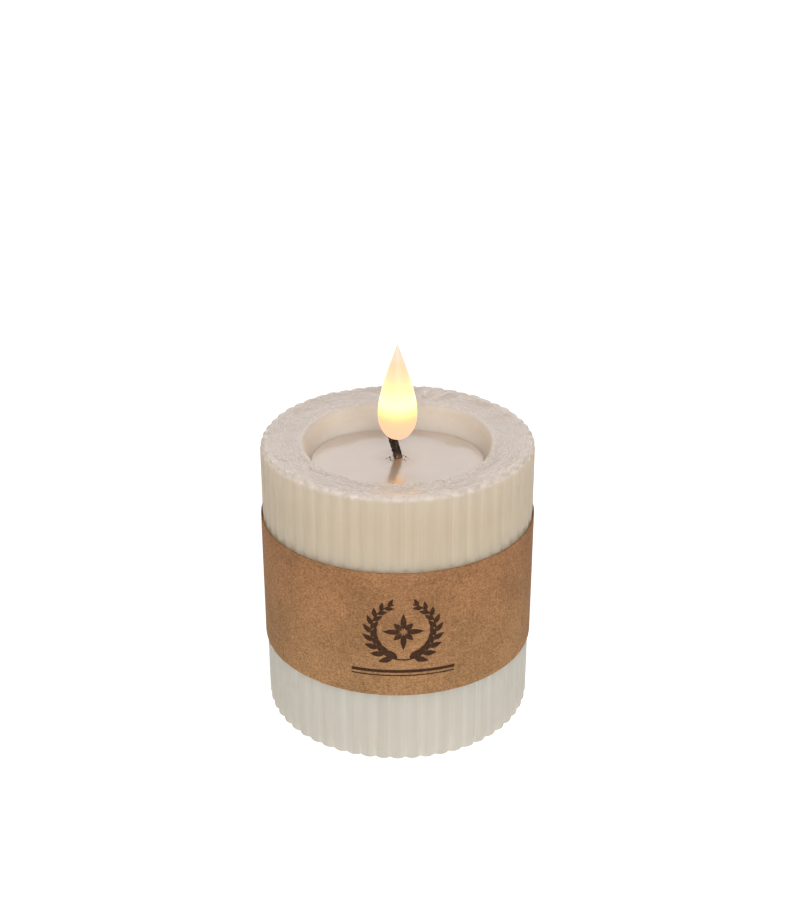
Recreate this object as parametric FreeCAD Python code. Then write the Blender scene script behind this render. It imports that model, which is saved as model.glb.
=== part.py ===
"""Flameless LED pillar candle: a ribbed real-wax shell with a melted recess, a teardrop
LED flame on a wick, a kraft paper sleeve, and a battery base with a timer board, a
three-way slide switch and a swing-down battery door.

Millimetres, +Z up. The origin is the centre of the wax foot, on the table. The printed
side of the sleeve and the slide switch face -Y.
"""

import FreeCAD
import Part
import math
import os

from FreeCAD import Vector

# ---- driving dimensions ------------------------------------------------------------
# wax shell
CREST_R = 37.5            # radius over the rib crests
WAX_H = 80.0              # foot to the outer rim
RIB_COUNT = 56
RIB_DEPTH = 0.8           # crest to groove
FOOT_CHAMFER = 0.5
RIM_ROUND = 1.6           # melted rounding of the outer rim
RIM_INNER_R = 25.2        # mouth of the melted recess
RIM_INNER_Z = 79.0
LIP_ROUND = 1.1           # melted rounding of the recess mouth
RECESS_FLOOR_R = 23.9
RECESS_FLOOR_Z = 72.6
CAVITY_R = 33.2           # bore for the battery base
CAVITY_STEP_Z = 25.0      # shoulder that the battery base is pushed up against
CORE_R = 30.8             # slush-cast hollow above the shoulder
CORE_TOP_Z = 65.0
CORE_ROUND = 8.0          # size of the three-sided rounding under the top
STEM_HOLE_R = 5.0

# melted pool, wick and flame
POOL_T = 1.0
POOL_GAP = 0.05
WICK_R = 1.2
WICK_BORE_R = 0.8
WICK_CLEAR = 0.05
WICK_ROUTE = [(0.25, 69.4), (0.25, 73.4), (-0.6, 76.6), (-1.6, 80.6)]   # X and Z
FLAME_OUTLINE = [         # radius and height, from the foot to the tip
    (0.5, 79.6), (1.5, 79.73), (2.6, 80.2), (3.7, 81.4), (4.6, 83.1), (5.15, 85.4), (5.22, 87.6),
    (4.9, 90.6), (4.3, 93.4), (3.58, 96.6), (2.7, 99.4), (1.72, 102.3), (0.8, 105.1), (0.2, 107.2),
]
FLAME_WALL = 0.9
FLAME_HOLLOW_MIN_R = 0.5
LED_R = 1.5
LED_FOOT_Z = 84.6
LED_H = 5.3
LED_FLANGE = (1.9, 0.9)   # radius and height
LEAD_R = 0.2
LEAD_GAP = 0.36           # half the distance between the two LED leads
SPLICE_Z = (63.0, 66.0)
SPLICE_X = 1.3

# stem and battery base
BASE_R = 32.9
PLATE_Z = (1.0, 3.0)      # bottom plate, set up inside the wax foot
COVER_TOP_Z = CAVITY_STEP_Z
COVER_WALL = 1.2
STEM_R = 4.8
STEM_BORE_R = 3.4
STEM_TOP_Z = 72.4
STEM_CAP_T = 1.4
STEM_FLANGE = (9.0, 1.6)  # radius and thickness
STEM_WEB = (3.8, 5.9, 1.2)  # reach, height and thickness of the four webs on the flange
CELL_R = 7.15             # AA cell
CELL_LENGTH = 50.2
CELL_NUB = (2.75, 1.2)    # radius and length of the positive button
CELL_Y = 7.4
CELL_Z = 10.6
CONTACT_T = 0.4
SPRING_LENGTH = 3.2
TRAY_X = 27.1             # inside half length, between the contact plates' backs
TRAY_Y = 14.8
TRAY_R = 30.0             # inside corners are cut round by this radius
TRAY_WALL = 1.2
TRAY_ROOF_Z = (18.9, 20.1)
DOOR_X = 26.2             # door opening, half sizes
DOOR_Y = 14.8
DOOR_R = 29.6
DOOR_GAP = 0.25
HINGE = (-25.0, 2.0)      # pivot line of the door, X and Z
HINGE_EDGE_R = 1.0        # the door's round back edge
HINGE_EDGE_Y = 13.4
PIN_R = 0.6
PIN_Y = 15.6
RUNNING_GAP = 0.05
SCREW_POSTS = [(0.0, 27.0), (-20.8, -19.6), (20.8, -19.6)]
POST_R = 2.6
SCREW_R = 1.05
SCREW_TOP_Z = 13.0
SCREW_HEAD_R = 2.7
SCREW_HEAD_Z = PLATE_Z[0] + 0.12
SCREW_SEAT_Z = PLATE_Z[0] + 1.1

# timer board and slide switch
BOARD = (-13.0, 13.0, -28.0, -17.4)
BOARD_Z = (8.6, 9.8)
BOARD_POSTS = [(-10.8, -20.5), (10.8, -20.5)]
BOARD_POST_R = 2.2
BOARD_SCREW_R = 0.8
BOARD_SCREW_HEAD = (1.9, 1.3)
SWITCH_Y = -24.5
SWITCH_TRAVEL = 4.0
SWITCH_REST_X = -SWITCH_TRAVEL / 2
SWITCH_CASE = (5.6, 2.6)  # half sizes
SWITCH_CASE_Z = 5.0
KNOB = (3.0, 2.35)        # half sizes
KNOB_Z = (1.25, 3.2)
SHIELD = (5.6, 3.3)       # flap that keeps the slot covered, half sizes
SHIELD_Z = (3.12, 3.9)
LEVER = 1.0               # half width of the square lever in the switch
LEVER_TOP_Z = 6.8
SLOT_GAP = 0.3
WIRE_R = 0.6
WIRE_LEVEL_Z = 21.8       # the wires' height over the battery tray
WIRE_BEND_R = 5.0         # turning up into the stem

# paper sleeve
SLEEVE_Z = (21.4, 58.6)
SLEEVE_GAP = 0.2
SLEEVE_T = 0.35
SLEEVE_LAP_DEG = 21.0     # glued overlap, at the back

BIG = 200.0
ARC_SHARE = 0.45          # of the shorter run, taken up by each bend of a wire
THROUGH = 1.0             # how far a cutting tool runs past the face it opens


# ---- shape helpers -------------------------------------------------------------------
def box(x0, x1, y0, y1, z0, z1):
    return Part.makeBox(x1 - x0, y1 - y0, z1 - z0, Vector(x0, y0, z0))


def cylinder(r, z0, z1, x=0.0, y=0.0):
    return Part.makeCylinder(r, z1 - z0, Vector(x, y, z0))


def cylinder_x(r, x0, x1, y, z):
    return Part.makeCylinder(r, x1 - x0, Vector(x0, y, z), Vector(1, 0, 0))


def cylinder_y(r, y0, y1, x, z):
    return Part.makeCylinder(r, y1 - y0, Vector(x, y0, z), Vector(0, 1, 0))


def block(half_x, half_y, z0, z1, x=0.0, y=0.0):
    return box(x - half_x, x + half_x, y - half_y, y + half_y, z0, z1)


def half_turn(shape):
    return shape.rotated(Vector(0, 0, 0), Vector(0, 0, 1), 180)


def ring(r_out, r_in, z0, z1, x=0.0, y=0.0):
    return cylinder(r_out, z0, z1, x, y).cut(cylinder(r_in, z0 - 1, z1 + 1, x, y))


def turned(edges):
    """A solid of revolution about Z from the edges of a closed outline in the XZ plane."""
    face = Part.Face(Part.Wire(Part.__sortEdges__(edges)))
    solid = face.revolve(Vector(0, 0, 0), Vector(0, 0, 1), 360)
    return solid if solid.Volume > 0 else solid.reversed()


def straight_edges(points):
    corners = [Vector(r, 0, z) for r, z in points]
    return [Part.LineSegment(a, b).toShape() for a, b in zip(corners, corners[1:])]


def turned_polygon(points):
    return turned(straight_edges(points + points[:1]))


def rounded_path(points, largest_r=BIG):
    """Straight runs joined by tangent arcs, as one wire."""
    corners = [Vector(*p) for p in points]
    edges = []
    start = corners[0]
    for before, corner, after in zip(corners, corners[1:], corners[2:]):
        back, ahead = before - corner, after - corner
        turn = (math.pi - back.getAngle(ahead)) / 2
        shorter = min(back.Length, ahead.Length)
        radius = min(ARC_SHARE * shorter / math.tan(turn), largest_r)
        reach = radius * math.tan(turn)
        arc_start = corner + back.normalize() * reach
        arc_end = corner + ahead.normalize() * reach
        inward = (back + ahead).normalize()
        middle = corner + inward * (radius / math.cos(turn) - radius)
        edges.append(Part.LineSegment(start, arc_start).toShape())
        edges.append(Part.Arc(arc_start, middle, arc_end).toShape())
        start = arc_end
    edges.append(Part.LineSegment(start, corners[-1]).toShape())
    return Part.Wire(edges)


def swept_round(path, r):
    """A round rod of radius r along a wire."""
    first = path.Edges[0]
    start = first.FirstParameter
    section = Part.Wire(Part.makeCircle(r, first.valueAt(start), first.tangentAt(start)))
    return path.makePipeShell([section], True, True)


def prism(corners, thickness):
    """A flat polygon with the given corners, thickened along its normal towards +Y or +Z."""
    points = [Vector(*corner) for corner in corners]
    return Part.Face(Part.makePolygon(points + points[:1])).extrude(Vector(*thickness))


def slot_outline(half_x, half_y, radius_limit, z0, z1):
    """A rectangular block about the origin whose corners are cut by a circle."""
    return box(-half_x, half_x, -half_y, half_y, z0, z1).common(cylinder(radius_limit, z0, z1))


def fused(first, *others):
    return first.fuse(list(others)).removeSplitter() if others else first


# ---- wax, pool, wick and flame -------------------------------------------------------
def ribbed_prism():
    pitch = 2 * math.pi / RIB_COUNT

    def at(r, turn):
        return Vector(r * math.sin(turn), -r * math.cos(turn), 0)

    edges = []
    for i in range(RIB_COUNT):
        crest = i * pitch
        groove_r = CREST_R - RIB_DEPTH
        edges.append(
            Part.Arc(
                at(groove_r, crest - pitch / 2),
                at(CREST_R, crest),
                at(groove_r, crest + pitch / 2),
            ).toShape()
        )
    return Part.Face(Part.Wire(edges)).extrude(Vector(0, 0, WAX_H))


def arc(*points):
    return Part.Arc(*[Vector(r, 0, z) for r, z in points]).toShape()


def wax_envelope():
    """The outside of the wax without its ribs: foot, rim, lip and recess."""
    outer = CREST_R + RIB_DEPTH
    lip_top = (RIM_INNER_R + LIP_ROUND, RIM_INNER_Z)
    lip_foot = (RIM_INNER_R, RIM_INNER_Z - LIP_ROUND)
    edges = straight_edges(
        [
            (0, RECESS_FLOOR_Z), (0, 0), (CREST_R - FOOT_CHAMFER, 0),
            (outer, RIB_DEPTH + FOOT_CHAMFER), (outer, WAX_H - RIM_ROUND),
        ]
    )
    edges.append(arc((outer, WAX_H - RIM_ROUND), (CREST_R - 0.25, WAX_H - 0.4), (CREST_R - RIM_ROUND, WAX_H)))
    edges += straight_edges([(CREST_R - RIM_ROUND, WAX_H), lip_top])
    edges.append(arc(lip_top, (RIM_INNER_R + 0.3 * LIP_ROUND, RIM_INNER_Z - 0.3 * LIP_ROUND), lip_foot))
    edges += straight_edges([lip_foot, (RECESS_FLOOR_R, RECESS_FLOOR_Z), (0, RECESS_FLOOR_Z)])
    return turned(edges)


def wax_hollow():
    """The bore for the battery base and the slush-cast hollow above it."""
    rounding = 0.3 * CORE_ROUND
    return turned_polygon(
        [
            (0, -THROUGH), (CAVITY_R, -THROUGH), (CAVITY_R, CAVITY_STEP_Z), (CORE_R, CAVITY_STEP_Z),
            (CORE_R, CORE_TOP_Z - CORE_ROUND), (CORE_R - rounding, CORE_TOP_Z - rounding),
            (CORE_R - CORE_ROUND, CORE_TOP_Z), (0, CORE_TOP_Z),
        ]
    )


def wax_body():
    stem_hole = cylinder(STEM_HOLE_R, CORE_TOP_Z - THROUGH, RECESS_FLOOR_Z + THROUGH)
    return ribbed_prism().common(wax_envelope()).cut([wax_hollow(), stem_hole])


def melt_pool():
    slope = (RIM_INNER_R - RECESS_FLOOR_R) / (RIM_INNER_Z - LIP_ROUND - RECESS_FLOOR_Z)
    foot_r = RECESS_FLOOR_R - POOL_GAP
    top_z = RECESS_FLOOR_Z + POOL_T
    disc = turned_polygon([(0, RECESS_FLOOR_Z), (foot_r, RECESS_FLOOR_Z), (foot_r + slope * POOL_T, top_z), (0, top_z)])
    return disc.cut(swept_round(wick_path(), WICK_R + WICK_CLEAR))


def wick_path():
    return rounded_path([(x, 0, z) for x, z in WICK_ROUTE])


def wick():
    return swept_round(wick_path(), WICK_R).cut(swept_round(wick_path(), WICK_BORE_R))


def wick_lean():
    """The wick's upper end and the direction it points in."""
    (x0, z0), (x1, z1) = WICK_ROUTE[-2:]
    return Vector(x1, 0, z1), Vector(x1 - x0, 0, z1 - z0).normalize()


def inset_outline(points, wall):
    """The flame's edge moved inwards by the wall, as far up as there is room for a hollow."""
    inner = [(points[0][0], points[0][1] + wall)]
    for (r0, z0), (r, z), (r1, z1) in zip(points, points[1:], points[2:]):
        along = math.hypot(r1 - r0, z1 - z0)
        inner_r = r - wall * (z1 - z0) / along
        if inner_r > FLAME_HOLLOW_MIN_R:
            inner.append((inner_r, z + wall * (r1 - r0) / along))
    return inner


def turned_curve(points):
    """A solid of revolution bounded by a smooth curve between two small flat ends."""
    corners = [Vector(r, 0, z) for r, z in points]
    first, last = corners[0], corners[-1]
    curve = Part.BSplineCurve()
    curve.interpolate(Points=corners, InitialTangent=Vector(1, 0, 0), FinalTangent=last - corners[-2])
    ends = straight_edges([(last.x, last.z), (0, last.z), (0, first.z), (first.x, first.z)])
    return turned([curve.toShape()] + ends)


def flame_lens():
    end, lean = wick_lean()
    hole = Part.makeCylinder(WICK_R + WICK_CLEAR, 6.0, end - lean * 4.0, lean)
    hollow = turned_curve(inset_outline(FLAME_OUTLINE, FLAME_WALL))
    return turned_curve(FLAME_OUTLINE).cut([hollow, hole])


def flame_led():
    flange_r, flange_h = LED_FLANGE
    dome_z = LED_FOOT_Z + LED_H - LED_R
    dome = Part.makeSphere(LED_R, Vector(0, 0, dome_z))
    barrel = cylinder(LED_R, LED_FOOT_Z, dome_z)
    return fused(barrel, dome, cylinder(flange_r, LED_FOOT_Z, LED_FOOT_Z + flange_h))


def led_leads():
    """The two LED legs, from the splices up through the wick to the LED's foot."""
    end, lean = wick_lean()
    past_end = end + lean * 1.2
    leads = []
    for side in (-1, 1):
        gap = side * LEAD_GAP
        route = [(side * SPLICE_X, 0, SPLICE_Z[1]), (side * SPLICE_X, 0, SPLICE_Z[1] + 0.8)]
        route += [(WICK_ROUTE[0][0] + gap, 0, WICK_ROUTE[0][1] - 0.8)]
        route += [(x + gap, 0, z) for x, z in WICK_ROUTE[1:-1]]
        route += [(past_end.x + gap, 0, past_end.z), (gap, 0, LED_FOOT_Z - 1.2), (gap, 0, LED_FOOT_Z)]
        leads.append(swept_round(rounded_path(route), LEAD_R))
    return Part.makeCompound(leads)


# ---- stem and battery base -----------------------------------------------------------
def stem_tube():
    flange_r, flange_t = STEM_FLANGE
    reach, height, thickness = STEM_WEB
    web_foot = COVER_TOP_Z + flange_t / 2
    inner = STEM_R - 0.4
    tube = ring(STEM_R, STEM_BORE_R, COVER_TOP_Z, STEM_TOP_Z)
    flange = ring(flange_r, STEM_BORE_R, COVER_TOP_Z, COVER_TOP_Z + flange_t)
    cap = cylinder(STEM_R, STEM_TOP_Z - STEM_CAP_T, STEM_TOP_Z)
    side = -thickness / 2
    corners = [(inner, side, web_foot), (inner + reach, side, web_foot), (inner, side, web_foot + height)]
    webs = []
    for i in range(4):
        web = prism(corners, (0, thickness, 0))
        webs.append(web.rotated(Vector(0, 0, 0), Vector(0, 0, 1), 45 + 90 * i))
    x, z = WICK_ROUTE[0]
    wick_hole = cylinder(WICK_R + WICK_CLEAR, z, WAX_H, x)
    return fused(tube, flange, cap, *webs).cut(wick_hole)


def upper_housing():
    z0 = PLATE_Z[1]
    ceiling = COVER_TOP_Z - COVER_WALL
    cover = cylinder(BASE_R, z0, COVER_TOP_Z).cut(cylinder(BASE_R - COVER_WALL, z0 - THROUGH, ceiling))
    posts = [cylinder(POST_R, z0, ceiling + 0.1, x, y) for x, y in SCREW_POSTS]
    holes = [cylinder(SCREW_R + RUNNING_GAP, z0 - THROUGH, SCREW_TOP_Z + 2, x, y) for x, y in SCREW_POSTS]
    wire_hole = cylinder(STEM_BORE_R, z0, COVER_TOP_Z + THROUGH)
    return fused(cover, *posts).cut(holes + [wire_hole])


def switch_marks():
    """Engraved signs beside the switch: a clock for timer, a ring for off and a bar for on."""
    y, size, line = -17.5, 1.15, 0.16
    z0, z1 = PLATE_Z[0] - THROUGH, PLATE_Z[0] + 0.25
    step = SWITCH_TRAVEL / 2 + 2.6
    clock = ring(size + 0.1, size - 0.2, z0, z1, -step, y)
    hour_hand = box(-step - line, -step + line, y - size + 0.3, y + line, z0, z1)
    minute_hand = box(-step, -step + 0.75, y - line, y + line, z0, z1)
    off = ring(size, size - 2 * line, z0, z1, 0, y)
    on = block(line, size, z0, z1, step, y)
    return [clock, hour_hand, minute_hand, off, on]


def battery_tray():
    """The box for the cells, open downwards, with its slots for the contacts' lugs."""
    outside = slot_outline(TRAY_X + TRAY_WALL, TRAY_Y + TRAY_WALL, TRAY_R + TRAY_WALL, PLATE_Z[1] - 0.5, TRAY_ROOF_Z[1])
    inside = slot_outline(TRAY_X, TRAY_Y, TRAY_R, PLATE_Z[1] - THROUGH, TRAY_ROOF_Z[0])
    lug_z = (TRAY_ROOF_Z[0] - THROUGH, TRAY_ROOF_Z[1] + THROUGH)
    slots = [box(-TRAY_X - 0.15, -TRAY_X + 0.6, y - 1.7, y + 1.7, *lug_z) for y in (-CELL_Y, CELL_Y)]
    return outside.cut([inside] + slots)


def base_plate():
    z0, z1 = PLATE_Z
    edge = 0.35
    disc = turned_polygon([(0, z0), (BASE_R - edge, z0), (BASE_R, z0 + edge), (BASE_R, z1), (0, z1)])
    door_opening = slot_outline(DOOR_X, DOOR_Y, DOOR_R, z0 - THROUGH, z1 + THROUGH)
    posts = [cylinder(BOARD_POST_R, z1 - 0.5, BOARD_Z[0], x, y) for x, y in BOARD_POSTS]
    case_x, case_y = SWITCH_CASE
    cuts = [
        block(case_x - SLOT_GAP, case_y, z0 - THROUGH, z1 + THROUGH, 0, SWITCH_Y),
        block(case_x + 2.4, case_y + 1.6, z0 - THROUGH, z0 + 0.6, 0, SWITCH_Y),
        cylinder_y(PIN_R + RUNNING_GAP, -PIN_Y - 0.2, PIN_Y + 0.2, *HINGE),
    ]
    for x, y in BOARD_POSTS:
        cuts.append(cylinder(BOARD_SCREW_R + RUNNING_GAP, z1 + 0.4, BOARD_Z[0] + THROUGH, x, y))
    for x, y in SCREW_POSTS:
        cuts.append(cylinder(SCREW_R + 0.25, z0 - THROUGH, z1 + THROUGH, x, y))
        cuts.append(cylinder(SCREW_HEAD_R + 0.2, z0 - THROUGH, SCREW_SEAT_Z, x, y))
    return fused(disc.cut(door_opening), battery_tray(), *posts).cut(cuts + switch_marks())


def cross_recess(x, y, z, reach, depth, up):
    """A cross-head slot for a screw driver, open towards the given side."""
    z0, z1 = (z - THROUGH, z + depth) if up else (z - depth, z + THROUGH)
    width = reach * 0.19
    return [block(reach, width, z0, z1, x, y), block(width, reach, z0, z1, x, y)]


def housing_screws():
    crown = 0.3
    screws = []
    for x, y in SCREW_POSTS:
        top = Part.makeCone(SCREW_HEAD_R - crown, SCREW_HEAD_R, crown, Vector(x, y, SCREW_HEAD_Z))
        head = cylinder(SCREW_HEAD_R, SCREW_HEAD_Z + crown, SCREW_SEAT_Z, x, y)
        screw = fused(top, head, cylinder(SCREW_R, SCREW_SEAT_Z - 0.1, SCREW_TOP_Z, x, y))
        screws.append(screw.cut(cross_recess(x, y, SCREW_HEAD_Z, 1.5, 0.7, True)))
    return Part.makeCompound(screws)


def door_panel():
    """The flat of the door with its round back edge and the two hinge pins."""
    z0, z1 = PLATE_Z
    half_x, half_y = DOOR_X - DOOR_GAP, DOOR_Y - DOOR_GAP
    hinge_x, hinge_z = HINGE
    panel = slot_outline(half_x, half_y, DOOR_R - DOOR_GAP, z0, z1)
    back = box(-half_x - THROUGH, hinge_x, -half_y, half_y, z0 - THROUGH, z1 + THROUGH)
    notches = [
        box(-half_x - THROUGH, hinge_x + 1.2, *sorted((side * HINGE_EDGE_Y, side * half_y)), z0 - THROUGH, z1 + THROUGH)
        for side in (-1, 1)
    ]
    edge = cylinder_y(HINGE_EDGE_R, -HINGE_EDGE_Y, HINGE_EDGE_Y, hinge_x, hinge_z)
    pins = cylinder_y(PIN_R, -PIN_Y, PIN_Y, hinge_x, hinge_z)
    return fused(panel.cut([back] + notches), edge, pins)


def battery_door():
    z0, z1 = PLATE_Z
    half_x = DOOR_X - DOOR_GAP
    stiffeners = [block(18.0, 0.5, z1 - 0.1, z1 + 0.9, 0, y) for y in (-1.3, 1.3)]
    tongue = box(half_x - 1.1, half_x, -2.6, 2.6, z1 - 0.1, z1 + 1.5)
    nose = box(half_x - 0.2, half_x + 0.05, -2.4, 2.4, z1 + 0.25, z1 + 1.0)
    slits = [box(half_x - 8.0, half_x + THROUGH, y - 0.35, y + 0.35, z0 - THROUGH, z1 + 0.05) for y in (-4.4, 4.4)]
    thumb_dish = cylinder_y(9.0, -3.5, 3.5, half_x - 2.8, z0 - 8.05)
    grip = [box(half_x - 7.4 + 1.5 * i, half_x - 6.8 + 1.5 * i, -3.3, 3.3, z0 - THROUGH, z0 + 0.3) for i in range(2)]
    arrow = prism([(13.0, -2.0, z0), (16.2, 0, z0), (13.0, 2.0, z0)], (0, 0, 0.3))
    return fused(door_panel(), tongue, nose, *stiffeners).cut(slits + [thumb_dish, arrow] + grip)


def battery_cell():
    """An AA cell on the +Y side, its button towards +X."""
    nub_r, nub_length = CELL_NUB
    nub_tip = TRAY_X - CONTACT_T
    shoulder = nub_tip - nub_length
    foot = nub_tip - CELL_LENGTH
    crimp = 0.7
    can = cylinder_x(CELL_R - crimp, foot, shoulder, CELL_Y, CELL_Z)
    jacket = cylinder_x(CELL_R, foot + 0.5, shoulder - 0.6, CELL_Y, CELL_Z)
    nub = cylinder_x(nub_r, shoulder - 0.5, nub_tip, CELL_Y, CELL_Z)
    return fused(can, jacket, nub)


def coil_spring():
    """The conical contact spring on the -X end wall, pressing on the +Y cell."""
    wire_r, base_r, tip_r, clear, turns = 0.3, 4.3, 2.7, 0.03, 3.0
    rise = SPRING_LENGTH - 2 * (wire_r + clear)
    cone_deg = -math.degrees(math.atan2(base_r - tip_r, rise))
    coil = swept_round(Part.Wire(Part.makeHelix(rise / turns, rise, base_r, cone_deg)), wire_r)
    coil.rotate(Vector(0, 0, 0), Vector(0, 1, 0), 90)
    coil.translate(Vector(-TRAY_X + CONTACT_T + wire_r + clear, CELL_Y, CELL_Z))
    return coil


def contact_plate(x0, y0, y1):
    return box(x0, x0 + CONTACT_T, y0, y1, CELL_Z - 5.0, CELL_Z + 5.0)


def contact_lug(x0, y):
    """The tag that carries a contact's wire up through the tray's roof."""
    return box(x0, x0 + CONTACT_T, y - 1.4, y + 1.4, CELL_Z + 4.9, WIRE_LEVEL_Z + 0.4)


def contact_bridge():
    return Part.makeCompound([contact_plate(TRAY_X - CONTACT_T, -12.2, 12.2), half_turn(coil_spring())])


def contact_negative():
    plate = fused(contact_plate(-TRAY_X, 2.6, 12.2), contact_lug(-TRAY_X, CELL_Y))
    return Part.makeCompound([plate, coil_spring()])


def contact_positive():
    return fused(contact_plate(-TRAY_X, -12.2, -2.6), contact_lug(-TRAY_X, -CELL_Y))


# ---- timer board, switch and wires -----------------------------------------------------
def timer_board():
    x0, x1, y0, y1 = BOARD
    board = box(x0, x1, y0, y1, *BOARD_Z).common(cylinder(BASE_R - COVER_WALL - 0.8, *BOARD_Z))
    holes = [cylinder(BOARD_SCREW_R + 0.2, BOARD_Z[0] - THROUGH, BOARD_Z[1] + THROUGH, x, y) for x, y in BOARD_POSTS]
    return board.cut(holes)


def board_screws():
    z = BOARD_Z[1]
    head_r, head_h = BOARD_SCREW_HEAD
    screws = []
    for x, y in BOARD_POSTS:
        screw = fused(cylinder(head_r, z, z + head_h, x, y), cylinder(BOARD_SCREW_R, PLATE_Z[1] + 1, z + 0.1, x, y))
        screws.append(screw.cut(cross_recess(x, y, z + head_h, 1.1, 0.7, False)))
    return Part.makeCompound(screws)


def timer_chip():
    """An eight-legged chip on the board."""
    x, y, z = 5.4, -21.2, BOARD_Z[1]
    body = block(2.5, 1.95, z + 0.15, z + 1.65, x, y)
    legs = []
    for i in range(4):
        leg_x = x - 1.9 + 1.27 * i
        for side in (-1, 1):
            legs.append(block(0.2, 0.5, z, z + 0.25, leg_x, y + side * 2.4))
            legs.append(block(0.2, 0.15, z, z + 0.9, leg_x, y + side * 2.1))
    return fused(body, *legs)


def crystal():
    y, z = -25.6, BOARD_Z[1]
    can = cylinder_x(1.0, 1.6, 7.6, y, z + 1.05)
    leads = []
    for side in (-0.35, 0.35):
        route = [(1.7, y + side, z + 1.05), (0.2, y + side, z + 1.05), (0.2, y + side, z)]
        leads.append(swept_round(rounded_path(route, 0.4), 0.15))
    return fused(can, *leads)


def capacitor():
    x, y, z = -9.2, -25.0, BOARD_Z[1]
    can = cylinder(2.5, z + 0.3, z + 6.8, x, y)
    feet = [cylinder(0.25, z, z + 0.4, x + side, y) for side in (-1.0, 1.0)]
    groove = ring(3.0, 2.3, z + 1.2, z + 1.8, x, y)
    return fused(can, *feet).cut(groove)


def resistors():
    z = BOARD_Z[1]
    blocks = []
    for x, y in ((-4.4, -25.8), (-4.4, -23.6), (10.6, -24.2)):
        blocks.append(box(x - 1.0, x + 1.0, y - 0.62, y + 0.62, z, z + 0.5))
    return Part.makeCompound(blocks)


def switch_case():
    half_slot = SWITCH_TRAVEL / 2 + LEVER + SLOT_GAP
    case = block(*SWITCH_CASE, SWITCH_CASE_Z, BOARD_Z[0], 0, SWITCH_Y)
    slot = block(half_slot, LEVER + 0.25, SWITCH_CASE_Z - THROUGH, LEVER_TOP_Z + 0.6, 0, SWITCH_Y)
    return case.cut(slot)


def switch_slider():
    x, y = SWITCH_REST_X, SWITCH_Y
    cap = block(*KNOB, *KNOB_Z, x, y)
    shield = block(*SHIELD, *SHIELD_Z, x, y)
    lever = block(LEVER, LEVER, SHIELD_Z[1] - 0.1, LEVER_TOP_Z, x, y)
    grooves = [block(0.35, KNOB[1] + 0.5, KNOB_Z[0] - THROUGH, KNOB_Z[0] + 0.4, x - 1.95 + 1.3 * i, y) for i in range(4)]
    return fused(cap, shield, lever).cut(grooves)


def lead_wires(side):
    """The insulated wire from the board up the stem to one LED lead."""
    route = [
        (side * SPLICE_X, -19.2, BOARD_Z[1]), (side * SPLICE_X, -19.2, WIRE_LEVEL_Z),
        (side * SPLICE_X, 0, WIRE_LEVEL_Z), (side * SPLICE_X, 0, SPLICE_Z[0]),
    ]
    return swept_round(rounded_path(route, WIRE_BEND_R), WIRE_R)


def splice_sleeves():
    """Shrink sleeves over the joints between the LED leads and the insulated wires."""
    sleeves = []
    for side in (-1, 1):
        sleeves.append(cylinder(WIRE_R + 0.25, *SPLICE_Z, side * SPLICE_X))
    return Part.makeCompound(sleeves)


def battery_wire(cell_y, waypoints, board_x):
    """A wire from a contact's lug over the tray to the edge of the board."""
    lug_x, lug_z = -TRAY_X + CONTACT_T, WIRE_LEVEL_Z - 0.5
    route = [(lug_x, cell_y, lug_z), (lug_x + 2.6, cell_y, lug_z)]
    route += [(x, y, WIRE_LEVEL_Z) for x, y in waypoints]
    route += [(board_x, -19.2, 16.0), (board_x, -19.2, BOARD_Z[1])]
    return swept_round(rounded_path(route), WIRE_R)


def battery_wire_red():
    return battery_wire(-CELL_Y, [(-19.0, -9.5), (-6.6, -17.6)], -6.6)


def battery_wire_black():
    return battery_wire(CELL_Y, [(-14.0, 4.5), (-5.0, -6.0), (-3.8, -17.6)], -3.8)


# ---- paper sleeve ------------------------------------------------------------------------
def paper_sleeve():
    z0, z1 = SLEEVE_Z
    r_in = CREST_R + SLEEVE_GAP
    r_out = r_in + SLEEVE_T
    band = ring(r_out, r_in, z0, z1)
    lap = Part.makeCylinder(r_out + SLEEVE_T, z1 - z0, Vector(0, 0, z0), Vector(0, 0, 1), SLEEVE_LAP_DEG)
    lap.rotate(Vector(0, 0, 0), Vector(0, 0, 1), 90 - SLEEVE_LAP_DEG / 2)
    return fused(band, lap.cut(cylinder(r_out - 0.1, z0 - 1, z1 + 1)))


# ---- build ---------------------------------------------------------------------------------
NODES = {
    "wax_body": wax_body,
    "melt_pool": melt_pool,
    "wick": wick,
    "flame_lens": flame_lens,
    "flame_led": flame_led,
    "led_leads": led_leads,
    "stem_tube": stem_tube,
    "upper_housing": upper_housing,
    "base_plate": base_plate,
    "housing_screws": housing_screws,
    "battery_door": battery_door,
    "battery_rear": battery_cell,
    "battery_front": lambda: half_turn(battery_cell()),
    "contact_bridge": contact_bridge,
    "contact_negative": contact_negative,
    "contact_positive": contact_positive,
    "timer_board": timer_board,
    "board_screws": board_screws,
    "timer_chip": timer_chip,
    "crystal": crystal,
    "capacitor": capacitor,
    "resistors": resistors,
    "switch_case": switch_case,
    "switch_slider": switch_slider,
    "lead_wire_red": lambda: lead_wires(1),
    "lead_wire_black": lambda: lead_wires(-1),
    "splice_sleeves": splice_sleeves,
    "battery_wire_red": battery_wire_red,
    "battery_wire_black": battery_wire_black,
    "paper_sleeve": paper_sleeve,
}


def main():
    os.makedirs("parts", exist_ok=True)
    for name, make in NODES.items():
        shape = make()
        sound = shape.isValid() and all(s.Volume > 0 for s in shape.Solids)
        print(f"{name:20s} solids {len(shape.Solids)}  volume {shape.Volume:10.2f}  {'ok' if sound else 'BAD'}")
        shape.exportStep(f"parts/{name}.step")


main()
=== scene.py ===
"""Flameless LED pillar candle: its wax, pool, wick, flame, kraft sleeve and battery base."""

import math
import random

import bmesh
import bpy
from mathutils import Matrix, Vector, noise


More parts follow.
